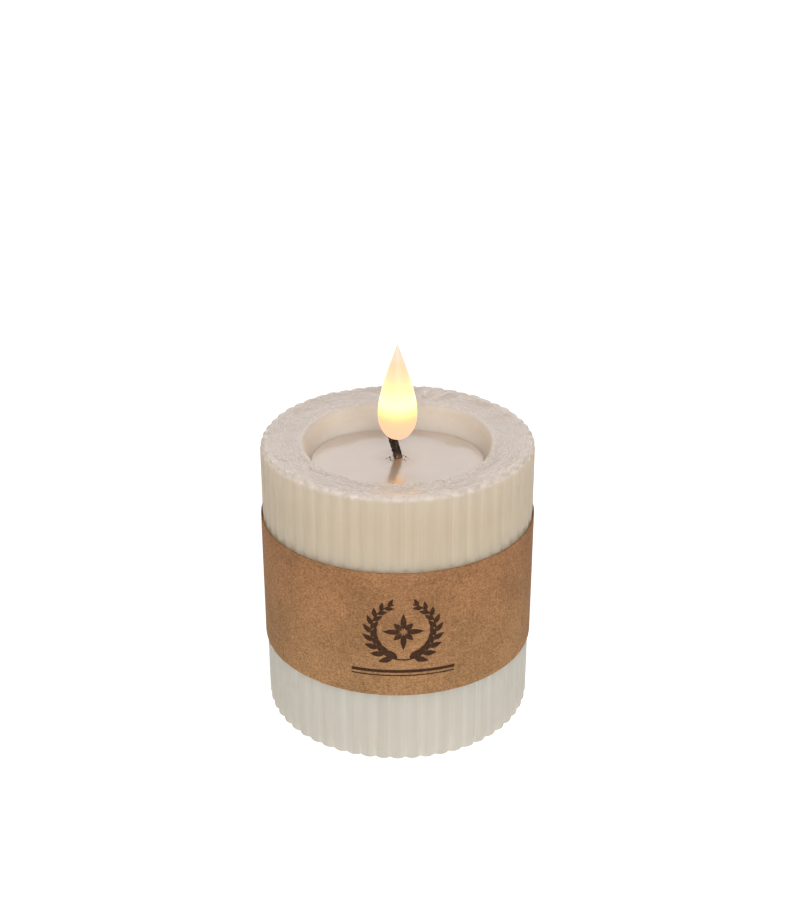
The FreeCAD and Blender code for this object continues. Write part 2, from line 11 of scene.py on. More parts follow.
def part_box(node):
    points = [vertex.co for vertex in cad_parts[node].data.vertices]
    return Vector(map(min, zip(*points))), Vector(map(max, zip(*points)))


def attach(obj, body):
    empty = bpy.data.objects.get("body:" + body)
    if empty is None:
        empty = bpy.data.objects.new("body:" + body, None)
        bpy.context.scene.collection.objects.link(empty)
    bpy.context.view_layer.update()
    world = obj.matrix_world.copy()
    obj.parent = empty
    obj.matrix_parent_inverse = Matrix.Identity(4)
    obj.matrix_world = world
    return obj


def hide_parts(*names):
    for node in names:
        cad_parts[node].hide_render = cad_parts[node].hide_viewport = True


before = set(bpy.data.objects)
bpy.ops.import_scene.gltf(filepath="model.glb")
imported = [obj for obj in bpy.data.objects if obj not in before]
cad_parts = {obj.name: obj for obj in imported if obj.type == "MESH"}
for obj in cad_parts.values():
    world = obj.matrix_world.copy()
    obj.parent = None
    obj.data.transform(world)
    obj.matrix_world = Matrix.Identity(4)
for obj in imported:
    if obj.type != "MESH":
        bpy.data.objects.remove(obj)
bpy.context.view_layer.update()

bl_info = {
    "name": "Flameless Pillar Candle",
    "version": (1, 0, 0),
    "blender": (4, 5, 0),
    "location": "View3D > Sidebar > Candle",
    "description": "Makes a ribbed wax LED pillar candle piece by piece on its packed frame",
    "category": "Object",
}

MM = 0.001
STEPS_PER_RIB = 12
PRINT_THICKNESS = 0.03 * MM
WAX_HIGH = Vector(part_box("wax_body")[1])
SLEEVE_LOW, SLEEVE_HIGH = (Vector(corner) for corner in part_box("paper_sleeve"))
POOL_LOW, POOL_HIGH = (Vector(corner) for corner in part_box("melt_pool"))
FLAME_LOW, FLAME_HIGH = (Vector(corner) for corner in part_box("flame_lens"))


# ---- what a user would change ----------------------------------------------------------
class CandleWaxSettings(bpy.types.PropertyGroup):
    crest_radius: bpy.props.FloatProperty(
        name="Crest Radius", description="Radius over the ribs' crests",
        default=WAX_HIGH.x, unit="LENGTH", precision=4
    )
    rib_count: bpy.props.IntProperty(name="Ribs", description="Ribs round the pillar", default=56, min=8)
    rib_depth: bpy.props.FloatProperty(
        name="Rib Depth", description="From crest to groove", default=0.8 * MM, unit="LENGTH", precision=5
    )
    melt_height: bpy.props.FloatProperty(
        name="Melt Height", description="Height of the waves in the melted rim",
        default=1.25 * MM, unit="LENGTH", precision=5,
    )
    flake_height: bpy.props.FloatProperty(
        name="Flake Height", description="Height of the scraped flakes on the rim",
        default=0.42 * MM, unit="LENGTH", precision=5,
    )
    back_slope: bpy.props.FloatProperty(
        name="Back Slope", description="How far the recess wall runs inwards at the back", default=5.0 * MM,
        unit="LENGTH", precision=4,
    )
    # painted glow: the wax itself emits a faint light, standing in for the diode's light soaking through it
    painted_inner_glow: bpy.props.FloatProperty(
        name="Inner Glow", description="Light from the diode soaking through the wax", default=0.3, min=0
    )
    upper_colour: bpy.props.FloatVectorProperty(
        name="Upper Wax", description="Wax near the flame", subtype="COLOR",
        default=(0.365, 0.30, 0.215), min=0, max=1
    )
    lower_colour: bpy.props.FloatVectorProperty(
        name="Lower Wax", description="Wax at the foot", subtype="COLOR",
        default=(0.365, 0.345, 0.30), min=0, max=1
    )
    rim_colour: bpy.props.FloatVectorProperty(
        name="Rim Wax", description="Bloomed wax on the top", subtype="COLOR",
        default=(0.485, 0.415, 0.37), min=0, max=1
    )


class CandleFlameSettings(bpy.types.PropertyGroup):
    glow: bpy.props.FloatProperty(name="Glow", description="Brightness of the lit flame", default=1.0, min=0)
    strand_count: bpy.props.IntProperty(
        name="Wick Strands", description="Strands in the wick", default=3, min=2
    )
    strand_turns: bpy.props.FloatProperty(name="Wick Turns", description="Turns of the strands", default=2.6)
    char_colour: bpy.props.FloatVectorProperty(
        name="Char", description="Burnt cotton", subtype="COLOR", default=(0.022, 0.015, 0.011), min=0, max=1
    )


class CandleSleeveSettings(bpy.types.PropertyGroup):
    thickness: bpy.props.FloatProperty(
        name="Paper Thickness", description="Thickness of the kraft paper",
        default=0.3 * MM, unit="LENGTH", precision=5
    )
    overlap: bpy.props.FloatProperty(
        name="Overlap", description="Glued overlap at the back", default=math.radians(21), subtype="ANGLE"
    )
    paper_colour: bpy.props.FloatVectorProperty(
        name="Kraft", description="Kraft paper", subtype="COLOR", default=(0.30, 0.148, 0.066), min=0, max=1
    )
    ink_colour: bpy.props.FloatVectorProperty(
        name="Ink", description="Printed ornament", subtype="COLOR",
        default=(0.040, 0.018, 0.009), min=0, max=1
    )
    wreath_radius: bpy.props.FloatProperty(
        name="Wreath Radius", description="Middle line of the printed wreath",
        default=8.6 * MM, unit="LENGTH", precision=4
    )
    leaf_pairs: bpy.props.IntProperty(
        name="Leaf Pairs", description="Leaf pairs up each side", default=9, min=2
    )
    print_offset: bpy.props.FloatProperty(
        name="Print Offset", description="Ornament's distance round the paper from the front",
        default=1.5 * MM, unit="LENGTH", precision=4,
    )


class CandleStageSettings(bpy.types.PropertyGroup):
    camera_height: bpy.props.FloatProperty(
        name="Camera Height", description="Camera above the table", default=248.8 * MM, unit="LENGTH"
    )
    camera_distance: bpy.props.FloatProperty(
        name="Camera Distance", description="Camera in front of the axis", default=370.0 * MM, unit="LENGTH"
    )
    aim_height: bpy.props.FloatProperty(
        name="Aim Height", description="Height the camera looks at", default=72.27 * MM, unit="LENGTH"
    )
    aim_side: bpy.props.FloatProperty(
        name="Aim Side", description="How far right of the axis the camera looks",
        default=0.66 * MM, unit="LENGTH"
    )
    room_light: bpy.props.FloatProperty(
        name="Room Light", description="Brightness of the room", default=0.14, min=0
    )
    lens: bpy.props.FloatProperty(
        name="Lens", description="Focal length on a frame 36 mm tall", default=58.08
    )


# ---- node helpers ------------------------------------------------------------------------
def place(tree, kind, values=None, **settings):
    """Add one node, set or link its inputs by name or number, and return it."""
    node = tree.nodes.new(kind)
    for name, value in settings.items():
        setattr(node, name, value)
    for key, value in (values or {}).items():
        socket = node.inputs[key]
        if isinstance(value, bpy.types.NodeSocket):
            tree.links.new(value, socket)
        else:
            socket.default_value = value
    return node


def calc(tree, operation, *values, clamp=False):
    inputs = dict(enumerate(values))
    return place(tree, "ShaderNodeMath", inputs, operation=operation, use_clamp=clamp).outputs[0]


def times(tree, first, second):
    return calc(tree, "MULTIPLY", first, second)


def plus(tree, first, second):
    return calc(tree, "ADD", first, second)


def minus(tree, first, second):
    return calc(tree, "SUBTRACT", first, second)


def ratio(tree, first, second):
    return calc(tree, "DIVIDE", first, second)


def combine(tree, x=0.0, y=0.0, z=0.0):
    return place(tree, "ShaderNodeCombineXYZ", {0: x, 1: y, 2: z}).outputs[0]


def separate(tree, vector):
    return place(tree, "ShaderNodeSeparateXYZ", {0: vector}).outputs


def from_axis(tree, parts):
    """Distance from the candle's axis, from a separated position."""
    across, deep = (calc(tree, "POWER", parts[axis], 2.0) for axis in (0, 1))
    return calc(tree, "SQRT", plus(tree, across, deep))


def blend_number(tree, factor, low, high):
    return place(tree, "ShaderNodeMix", {0: factor, 2: low, 3: high}, data_type="FLOAT").outputs[0]


def smooth_step(tree, value, low, high):
    inputs = {0: value, 1: low, 2: high, 3: 0.0, 4: 1.0}
    return place(tree, "ShaderNodeMapRange", inputs, interpolation_type="SMOOTHSTEP").outputs[0]


def cloud(tree, vector, scale, detail=3.0, roughness=0.5, distortion=0.0):
    """Soft noise centred on one half."""
    inputs = {
        "Vector": vector, "Scale": scale, "Detail": detail, "Roughness": roughness, "Distortion": distortion,
    }
    return place(tree, "ShaderNodeTexNoise", inputs).outputs[0]


# ---- material helpers ---------------------------------------------------------------------
def new_finish(name, **uniform):
    """A material with one Principled shader; keyword names stand for its sockets."""
    finish = bpy.data.materials.new(name)
    finish.use_nodes = True
    shader = finish.node_tree.nodes["Principled BSDF"]
    for key, value in uniform.items():
        shader.inputs[key.replace("_", " ")].default_value = value
    return finish, finish.node_tree, shader


def object_place(tree, scale=(1.0, 1.0, 1.0)):
    here = place(tree, "ShaderNodeTexCoord").outputs["Object"]
    if scale == (1.0, 1.0, 1.0):
        return here
    return place(tree, "ShaderNodeMapping", {"Vector": here, "Scale": scale}).outputs[0]


def cells(tree, scale, randomness):
    """Distance to the nearest of many scattered points."""
    values = {"Vector": object_place(tree, scale), "Scale": 1.0, "Randomness": randomness}
    return place(tree, "ShaderNodeTexVoronoi", values).outputs["Distance"]


def ramp(tree, factor, stops, interpolation="LINEAR"):
    """A colour ramp from (position, colour) stops."""
    node = place(tree, "ShaderNodeValToRGB", {0: factor})
    node.color_ramp.interpolation = interpolation
    elements = node.color_ramp.elements
    while len(elements) > 1:
        elements.remove(elements[-1])
    elements[0].position, elements[0].color = stops[0][0], (*stops[0][1], 1)
    for position, colour in stops[1:]:
        elements.new(position).color = (*colour, 1)
    return node.outputs[0]


def tint(tree, factor, low, high, mode="MIX"):
    """Mix two colours, each a socket or a plain colour."""
    low, high = ((*value, 1) if isinstance(value, tuple) else value for value in (low, high))
    inputs = {0: factor, 6: low, 7: high}
    return place(tree, "ShaderNodeMix", inputs, data_type="RGBA", blend_type=mode).outputs[2]


def emboss(tree, shader, height, strength, distance):
    bump = place(tree, "ShaderNodeBump", {"Height": height, "Strength": strength, "Distance": distance})
    tree.links.new(bump.outputs[0], shader.inputs["Normal"])


def grey(value):
    return (value, value, value)


def scaled(colour, factor):
    return tuple(min(1.0, channel * factor) for channel in colour)


# ---- piece helpers -------------------------------------------------------------------------
def new_piece(name, mesh, finish=None):
    piece = bpy.data.objects.new(name, mesh)
    bpy.context.scene.collection.objects.link(piece)
    if finish is not None:
        mesh.materials.clear()
        mesh.materials.append(finish)
    return piece


def mesh_from(name, points, faces, smooth=True):
    mesh = bpy.data.meshes.new(name)
    mesh.from_pydata([tuple(point) for point in points], [], faces)
    mesh.update()
    if smooth:
        mesh.shade_smooth()
    return mesh


def new_growth(name, inputs):
    """A geometry tree with a geometry input and one named input per (name, kind) pair."""
    tree = bpy.data.node_groups.new(name, "GeometryNodeTree")
    tree.interface.new_socket("Geometry", in_out="INPUT", socket_type="NodeSocketGeometry")
    for label, kind in inputs:
        tree.interface.new_socket(label, in_out="INPUT", socket_type=f"NodeSocket{kind}")
    tree.interface.new_socket("Geometry", in_out="OUTPUT", socket_type="NodeSocketGeometry")
    return tree, tree.nodes.new("NodeGroupInput").outputs


def end_growth(tree, geometry, finish):
    real = place(tree, "GeometryNodeRealizeInstances", {0: geometry}).outputs[0]
    dressed = place(tree, "GeometryNodeSetMaterial", {"Geometry": real, "Material": finish}).outputs[0]
    place(tree, "NodeGroupOutput", {0: dressed})


def grow(name, start_mesh, tree, values, wall=None):
    """Run a geometry tree on a mesh and hand back the result as a plain mesh piece."""
    piece = new_piece(name, start_mesh)
    modifier = piece.modifiers.new("Growth", "NODES")
    modifier.node_group = tree
    for socket in tree.interface.items_tree:
        if socket.in_out == "INPUT" and socket.name in values:
            modifier[socket.identifier] = values[socket.name]
    if wall is not None:
        solid = piece.modifiers.new("Wall", "SOLIDIFY")
        solid.thickness, solid.offset = wall, -1.0
    graph = bpy.context.evaluated_depsgraph_get()
    result = bpy.data.meshes.new_from_object(
        piece.evaluated_get(graph), preserve_all_data_layers=True, depsgraph=graph
    )
    piece.modifiers.clear()
    piece.data = result
    result.name = name
    if not result.polygons:
        raise RuntimeError(f"{name} came out empty")
    return piece


def finish_piece(piece, body, slot, *nodes):
    if nodes:
        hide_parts(*nodes)
    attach(piece, body)


# ---- the wax --------------------------------------------------------------------------------
def wax_rows(crest):
    """The wax wall's section as (radius, height, rib, melt, wall) rows in millimetres, as a closed loop.

    crest is the radius over the ribs; rib is how deep the ribs cut, melt how wavy the wax is, wall how far
    down the recess wall.
    """
    rows = [(33.2, 0.35, 0, 0, 0), (33.6, 0.0, 0, 0, 0), (crest - 0.95, 0.0, 0.8, 0, 0)]
    rows += [(crest - 0.42, 0.05, 1, 0, 0), (crest - 0.12, 0.3, 1, 0, 0), (crest, 0.8, 1, 0, 0)]
    side = 26
    for i in range(1, side + 1):
        z = 0.8 + (78.0 - 0.8) * i / side
        rows.append((crest, z, 1, 0.12 * max(0.0, (z - 70) / 8), 0))
    rows += [(crest - 0.04, 78.7, 1, 0.3, 0), (crest - 0.16, 79.2, 1, 0.5, 0)]
    rows += [(crest - 0.42, 79.6, 1, 0.7, 0), (crest - 0.8, 79.85, 1, 0.85, 0)]
    rows += [(crest - 1.25, 79.97, 0.95, 1, 0)]
    top = 24
    for i in range(top + 1):
        t = i / top
        r = (crest - 1.75) + (26.3 - crest + 1.75) * t
        dish = 0.28 * math.sin(math.pi * t)
        rows.append((r, 80.0 - 0.75 * t - dish, 0.85 * max(0.0, 1 - 4 * t), 1, 0))
    rows += [(25.95, 78.95, 0, 0.9, 0), (25.6, 78.55, 0, 0.8, 0.02)]
    rows += [(25.35, 78.0, 0, 0.7, 0.05), (25.2, 77.4, 0, 0.6, 0.1)]
    fall = 11
    for i in range(1, fall + 1):
        t = i / fall
        rows.append((25.2 - 1.0 * t, 77.4 - 3.8 * t, 0, 0.55 - 0.4 * t, 0.1 + 0.9 * t * t))
    rows += [(24.1, 73.1, 0, 0, 1), (23.0, 72.6, 0, 0, 1), (14.0, 72.6, 0, 0, 0), (5.0, 72.6, 0, 0, 0)]
    rows += [(5.0, 65.0, 0, 0, 0), (22.8, 65.0, 0, 0, 0), (28.4, 62.6, 0, 0, 0), (30.8, 57.0, 0, 0, 0)]
    rows += [(30.8, 41.0, 0, 0, 0), (30.8, 25.0, 0, 0, 0), (33.2, 25.0, 0, 0, 0), (33.2, 12.0, 0, 0, 0)]
    return rows


def wax_section_mesh(settings):
    """The section as loose points, with the three weights as attributes."""
    rows = wax_rows(settings.crest_radius / MM)
    mesh = bpy.data.meshes.new("wax_section")
    mesh.from_pydata([(r * MM, 0, z * MM) for r, z, _, _, _ in rows], [], [])
    for label, column in (("rib", 2), ("melt", 3), ("wall", 4)):
        layer = mesh.attributes.new(label, "FLOAT", "POINT")
        for i, row in enumerate(rows):
            layer.data[i].value = float(row[column])
    return mesh, len(rows)


def ribbed_wax_tree(row_count, steps_per_rib, finish):
    """Sweeps the section round the axis, cuts the ribs and makes the melted waves."""
    tree, given = new_growth(
        "Ribbed Wax",
        [
            ("Ribs", "Int"), ("Rib Depth", "Float"), ("Melt Height", "Float"), ("Flake Height", "Float"),
            ("Back Slope", "Float"),
        ],
    )
    columns = times(tree, given["Ribs"], float(steps_per_rib))
    grid = place(
        tree, "GeometryNodeMeshGrid",
        {"Size X": 1.0, "Size Y": 1.0, "Vertices X": plus(tree, columns, 1.0), "Vertices Y": row_count + 1},
    ).outputs[0]
    across = separate(tree, place(tree, "GeometryNodeInputPosition").outputs[0])
    turn = times(tree, plus(tree, across[0], 0.5), 2 * math.pi)
    row = calc(tree, "ROUND", times(tree, plus(tree, across[1], 0.5), float(row_count)))
    row = calc(tree, "MODULO", row, float(row_count))

    def from_section(value, kind):
        inputs = {"Geometry": given["Geometry"], "Value": value, "Index": row}
        return place(tree, "GeometryNodeSampleIndex", inputs, data_type=kind).outputs[0]

    def weight(label):
        named = place(tree, "GeometryNodeInputNamedAttribute", {"Name": label}, data_type="FLOAT").outputs[0]
        return from_section(named, "FLOAT")

    point = separate(tree, from_section(place(tree, "GeometryNodeInputPosition").outputs[0], "FLOAT_VECTOR"))
    rib, melt, wall = weight("rib"), weight("melt"), weight("wall")

    phase = times(tree, turn, ratio(tree, given["Ribs"], 2 * math.pi))
    phase = minus(tree, calc(tree, "FRACT", plus(tree, phase, 0.5)), 0.5)
    groove = calc(tree, "POWER", times(tree, calc(tree, "ABSOLUTE", phase), 2.0), 2.0)
    cut = times(tree, times(tree, groove, rib), given["Rib Depth"])
    behind = times(tree, minus(tree, 1.0, calc(tree, "COSINE", turn)), 0.5)
    behind = calc(tree, "POWER", behind, 3.0)
    slope = times(tree, times(tree, wall, behind), given["Back Slope"])
    radius = minus(tree, minus(tree, point[0], cut), slope)

    def around(r, z):
        x = times(tree, r, calc(tree, "SINE", turn))
        y = times(tree, r, times(tree, calc(tree, "COSINE", turn), -1.0))
        return combine(tree, x, y, z)

    calm = around(radius, point[2])
    waves = minus(tree, cloud(tree, calm, 95.0, 3.0, 0.5, 0.6), 0.5)
    patches = smooth_step(tree, cloud(tree, calm, 55.0, 1.0), 0.42, 0.6)
    ring = combine(
        tree, times(tree, calc(tree, "SINE", turn), 7.0), times(tree, calc(tree, "COSINE", turn), 7.0),
        times(tree, radius, 1150.0),
    )
    flakes = minus(tree, cloud(tree, ring, 1.0, 4.0, 0.62, 1.4), 0.5)
    flakes = times(tree, flakes, blend_number(tree, patches, 0.25, 1.0))
    rise = times(tree, waves, given["Melt Height"])
    rise = plus(tree, rise, times(tree, flakes, given["Flake Height"]))
    rise = times(tree, calc(tree, "MINIMUM", rise, 0.00016), melt)
    inward = times(tree, calc(tree, "ABSOLUTE", flakes), times(tree, given["Flake Height"], melt))
    hand_made = minus(tree, cloud(tree, calm, 40.0, 2.0), 0.62)
    hand_made = times(tree, calc(tree, "MINIMUM", hand_made, 0.0), times(tree, rib, 0.0003))
    radius = plus(tree, minus(tree, radius, inward), hand_made)
    for label, value in (("groove", times(tree, groove, rib)), ("melt", melt), ("wall", wall)):
        grid = place(
            tree, "GeometryNodeStoreNamedAttribute", {"Geometry": grid, "Name": label, "Value": value},
            data_type="FLOAT", domain="POINT",
        ).outputs[0]
    moved = place(
        tree, "GeometryNodeSetPosition",
        {"Geometry": grid, "Position": around(radius, plus(tree, point[2], rise))},
    ).outputs[0]
    joined = place(tree, "GeometryNodeMergeByDistance", {"Geometry": moved, "Distance": 1e-6}).outputs[0]
    soft = place(tree, "GeometryNodeSetShadeSmooth", {"Geometry": joined}).outputs[0]
    end_growth(tree, soft, finish)
    return tree


def wax_finish(name, settings):
    """Body colour by height, a paler worked rim, a recess wall painted brighter and warmer as if lit by the
    flame, painted shade in the rib grooves, a painted glow from within, streaks, pores and fine scrapes.
    """
    # painted light: the recess wall gets a brighter, warmer colour and a glow of its own, as if lit by the flame
    painted_lit_wall_colour, painted_wall_glow = (0.68, 0.585, 0.49), (0.30, 0.265, 0.225)
    bloom_colour, frayed_colour, pore_colour = (0.88, 0.83, 0.78), (0.86, 0.80, 0.74), (0.40, 0.32, 0.22)
    lip_outside, lip_inside = 27.3 * MM, 25.3 * MM
    edge_inside, edge_outside = 35.2 * MM, 36.4 * MM
    # painted glow: the emission strength makes the whole wax body give off light of its own
    finish, tree, shader = new_finish(
        name, Roughness=0.5, IOR=1.44, Subsurface_Weight=1.0, Subsurface_Scale=0.009, Specular_IOR_Level=0.8,
        Emission_Strength=settings.painted_inner_glow,
    )
    shader.inputs["Subsurface Radius"].default_value = (1.0, 0.8, 0.62)
    shader.subsurface_method = "BURLEY"
    here = object_place(tree)
    parts = separate(tree, here)
    height = parts[2]
    away = from_axis(tree, parts)
    away = calc(tree, "MAXIMUM", away, 1 * MM)
    ring = combine(
        tree, times(tree, ratio(tree, parts[0], away), 12.0),
        times(tree, ratio(tree, parts[1], away), 12.0), times(tree, away, 2200.0),
    )
    back_right = times(tree, minus(tree, parts[0], parts[1]), 4.0)
    worked = smooth_step(tree, plus(tree, cloud(tree, here, 50.0, 2.0), back_right), 0.42, 0.72)
    worked = plus(tree, 0.3, times(tree, worked, 0.7))
    scrapes = cloud(tree, ring, 1.0, 4.0, 0.6, 1.2)
    up = smooth_step(tree, height, 10 * MM, 70 * MM)
    body = tint(tree, up, tuple(settings.lower_colour), tuple(settings.upper_colour))
    melt = place(tree, "ShaderNodeAttribute", attribute_name="melt").outputs["Fac"]
    groove = place(tree, "ShaderNodeAttribute", attribute_name="groove").outputs["Fac"]
    body = tint(tree, times(tree, melt, 0.9), body, tuple(settings.rim_colour))
    inside = smooth_step(tree, away, lip_outside, lip_inside)
    # painted light: inside the lip the wax takes the bright, warm flame-lit wall colour
    body = tint(tree, inside, body, painted_lit_wall_colour)
    mottle = ramp(tree, cloud(tree, here, 70.0, 5.0, 0.6), [(0.3, grey(0.93)), (0.7, grey(1.0))])
    body = tint(tree, 0.8, body, mottle, "MULTIPLY")
    streak = cloud(tree, object_place(tree, (900.0, 900.0, 14.0)), 1.0, 3.0, 0.65)
    streaks = ramp(tree, streak, [(0.34, (0.955, 0.94, 0.91)), (0.56, grey(1.0))])
    body = tint(tree, calc(tree, "SUBTRACT", 0.9, melt, clamp=True), body, streaks, "MULTIPLY")
    # painted glow: the emission colour is the body colour, swapped for the warm painted wall glow inside the lip
    lit = tint(tree, inside, body, painted_wall_glow)
    tree.links.new(lit, shader.inputs["Emission Color"])
    # painted shade: the wax is made a touch darker deeper in the rib grooves
    body = tint(tree, 1.0, body, ramp(tree, groove, [(0.0, grey(0.96)), (1.0, grey(0.94))]), "MULTIPLY")
    bloom = smooth_step(tree, scrapes, 0.48, 0.72)
    body = tint(tree, times(tree, times(tree, bloom, worked), times(tree, melt, 0.24)), body, bloom_colour)
    outermost = smooth_step(tree, away, edge_inside, edge_outside)
    edge = times(tree, smooth_step(tree, melt, 0.25, 0.55), outermost)
    frayed = times(tree, edge, smooth_step(tree, cloud(tree, here, 420.0, 3.0, 0.6), 0.36, 0.56))
    body = tint(tree, times(tree, frayed, 0.2), body, frayed_colour)
    pores = smooth_step(tree, cloud(tree, here, 230.0, 2.0), 0.72, 0.76)
    body = tint(tree, times(tree, pores, 0.3), body, pore_colour)
    tree.links.new(body, shader.inputs["Base Color"])
    shine = blend_number(tree, melt, 0.62, 0.24)
    rough = plus(tree, shine, times(tree, times(tree, bloom, melt), 0.2))
    tree.links.new(rough, shader.inputs["Roughness"])
    grain = times(tree, times(tree, scrapes, worked), times(tree, melt, 2.4))
    grain = plus(tree, grain, times(tree, streak, 0.4))
    emboss(tree, shader, grain, 0.16, 0.00008)
    return finish


def sculpt_melt(piece):
    """Presses ledges, ridges, scrapes and a shallow bay along the front into the rim."""
    # each mark is (x, y, turn, length, width, rise) in millimetres and degrees
    marks = [
        (22.8, -18.6, 52, 9.5, 1.1, 1.0), (19.4, -22.4, 44, 7.0, 0.9, -1.0), (26.0, -12.6, 62, 6.0, 1.0, 0.8),
        (28.4, -16.6, 50, 6.5, 1.2, -0.8), (9.4, 33.0, 74, 5.2, 0.7, 1.0), (12.4, 34.2, 60, 4.2, 0.6, 0.9),
        (7.6, 30.4, 84, 3.6, 0.6, 0.9), (15.6, 31.2, 38, 4.6, 0.8, 0.8), (24.6, 24.4, -44, 5.0, 0.9, 0.9),
        (29.6, 17.2, -60, 4.6, 0.8, 0.4), (0.6, -32.4, 12, 5.0, 0.8, -0.5), (-4.8, -30.8, -14, 4.4, 0.7, 0.45),
        (11.0, 31.0, 66, 4.4, 0.5, -0.9), (21.0, 27.6, -38, 5.4, 0.7, -0.8), (-9.0, -32.6, -16, 5.2, 0.6, -0.6),
        (4.6, -29.4, 18, 4.6, 0.7, 0.45), (8.6, -33.2, 26, 4.2, 0.8, 0.4), (-14.4, -28.8, -30, 6.0, 1.0, 0.4),
        (-20.6, -24.4, -44, 5.0, 0.9, -0.4),
        (-29.8, -6.0, 80, 8.0, 1.8, -0.3), (14.0, -29.6, 24, 5.4, 0.9, -0.5),
        (31.0, -2.0, 86, 6.0, 1.3, 0.35), (-24.0, 20.0, 40, 9.0, 2.0, -0.25),
    ]
    weights = piece.data.attributes["melt"].data
    for index, vertex in enumerate(piece.data.vertices):
        if weights[index].value < 0.45:
            continue
        place_mm = vertex.co / MM
        rise = 0.0
        for x, y, turn, length, width, height in marks:
            along = math.cos(math.radians(turn)), math.sin(math.radians(turn))
            dx, dy = place_mm.x - x, place_mm.y - y
            u = (dx * along[0] + dy * along[1]) / length
            v = (dy * along[0] - dx * along[1]) / width
            if abs(u) < 1.6 and abs(v) < 2.2:
                rise += height * math.exp(-2.0 * (u * u + v * v))
        away = math.hypot(place_mm.x, place_mm.y)
        ahead = -place_mm.y / away
        if ahead > 0.1 and away < 33.0:
            right = 0.5 + 0.5 * math.tanh((place_mm.x - 4.0) / 4.0)
            shore = 29.3 + 1.5 * noise.noise(Vector((place_mm.x, place_mm.y, 0.0)) * 0.16) - 1.2 * (1 - right)
            width = 2.6 - 2.0 * right
            depth = min(1.0, max(0.0, (shore - away) / width + 0.5)) * min(1.0, (ahead - 0.1) / 0.3)
            rise -= 0.9 * depth * depth * (3 - 2 * depth)
        if rise:
            wobble = 0.75 + 0.6 * noise.noise(place_mm * 0.9)
            vertex.co.z = min(WAX_HIGH.z, vertex.co.z + weights[index].value * rise * wobble * MM)
    piece.data.update()


def make_wax(context):
    """The ribbed pillar with its melted rim, recess and hollow foot."""
    settings = context.scene.candle_wax
    section, row_count = wax_section_mesh(settings)
    tree = ribbed_wax_tree(row_count, STEPS_PER_RIB, wax_finish("Ivory Pillar Wax", settings))
    piece = grow(
        "ribbed_wax", section, tree,
        {
            "Ribs": settings.rib_count, "Rib Depth": settings.rib_depth, "Melt Height": settings.melt_height,
            "Flake Height": settings.flake_height, "Back Slope": settings.back_slope,
        },
    )
    sculpt_melt(piece)
    finish_piece(piece, "candle", "wax", "wax_body")


# ---- the pool -------------------------------------------------------------------------------
def pool_finish():
    """Wet wax: browner round the wick, paler at the wall, under a glossy coat."""
    soot = (0.12, 0.08, 0.05)
    finish, tree, shader = new_finish(
        "Melted Pool Wax", Roughness=0.3, IOR=1.6, Subsurface_Weight=0.3, Subsurface_Scale=0.004,
        Specular_IOR_Level=0.7, Coat_Weight=1.0, Coat_Roughness=0.13, Coat_IOR=1.75,
    )
    shader.inputs["Subsurface Radius"].default_value = (1.0, 0.65, 0.4)
    here = object_place(tree)
    parts = separate(tree, here)
    away = from_axis(tree, parts)
    base = ramp(
        tree, ratio(tree, away, 25 * MM),
        [
            (0.0, (0.30, 0.17, 0.08)), (0.09, (0.43, 0.30, 0.20)), (0.3, (0.525, 0.40, 0.305)),
            (0.7, (0.545, 0.42, 0.325)), (1.0, (0.63, 0.50, 0.395)),
        ],
    )
    mottle = ramp(tree, cloud(tree, here, 120.0, 4.0, 0.6, 0.8), [(0.35, grey(0.95)), (0.65, grey(1.0))])
    base = tint(tree, 1.0, base, mottle, "MULTIPLY")
    specks = smooth_step(tree, cloud(tree, here, 700.0, 2.0), 0.74, 0.78)
    near = minus(tree, 1.0, smooth_step(tree, away, 2 * MM, 6 * MM))
    base = tint(tree, times(tree, specks, plus(tree, times(tree, near, 0.8), 0.08)), base, soot)
    tree.links.new(base, shader.inputs["Base Color"])
    emboss(tree, shader, cloud(tree, here, 210.0, 3.0, 0.5), 0.12, 0.0004)
    return finish


def make_pool():
    """The still, glossy wax round the wick, with a rise where it wets the wick and the wall."""
    rings, turns = 40, 120
    rim = POOL_HIGH.x - 0.02 * MM
    wick_x, hole = 0.2 * MM, 0.9 * MM
    foot = POOL_LOW.z + 0.02 * MM
    points, faces = [], []
    for i in range(rings + 1):
        t = (i / rings) ** 1.15
        for j in range(turns):
            turn = 2 * math.pi * j / turns
            r = hole + (rim - hole) * t
            x, y = wick_x * (1 - t) + r * math.sin(turn), -r * math.cos(turn)
            rise = 0.55 * math.exp(-((r / MM - 0.9) / 0.75)) + 0.35 * t**6
            wave = 0.09 * noise.noise(Vector((x, y, 0)) / MM * 0.16)
            wave += 0.03 * noise.noise(Vector((x, y, 3)) / MM * 0.55)
            points.append((x, y, min(POOL_HIGH.z + 0.3 * MM, POOL_HIGH.z + (rise + wave - 0.2) * MM)))
    for ring_r, shift in ((rim, 0.0), (hole, wick_x)):
        for j in range(turns):
            turn = 2 * math.pi * j / turns
            points.append((shift + ring_r * math.sin(turn), -ring_r * math.cos(turn), foot))
    loops = list(range(rings + 1)) + [rings + 1, rings + 2]
    for a, b in zip(loops, loops[1:] + loops[:1]):
        for j in range(turns):
            k = (j + 1) % turns
            faces.append((a * turns + j, b * turns + j, b * turns + k, a * turns + k))
    mesh = mesh_from("melted_pool", points, faces)
    face_outwards(mesh)
    piece = new_piece("melted_pool", mesh, pool_finish())
    finish_piece(piece, "candle", "melted_wax", "melt_pool")


def face_outwards(mesh, merge=1e-6):
    """Merge doubles, then turn every face of a closed mesh outwards."""
    work = bmesh.new()
    work.from_mesh(mesh)
    bmesh.ops.remove_doubles(work, verts=work.verts, dist=merge)
    bmesh.ops.recalc_face_normals(work, faces=work.faces)
    work.to_mesh(mesh)
    work.free()
    mesh.update()


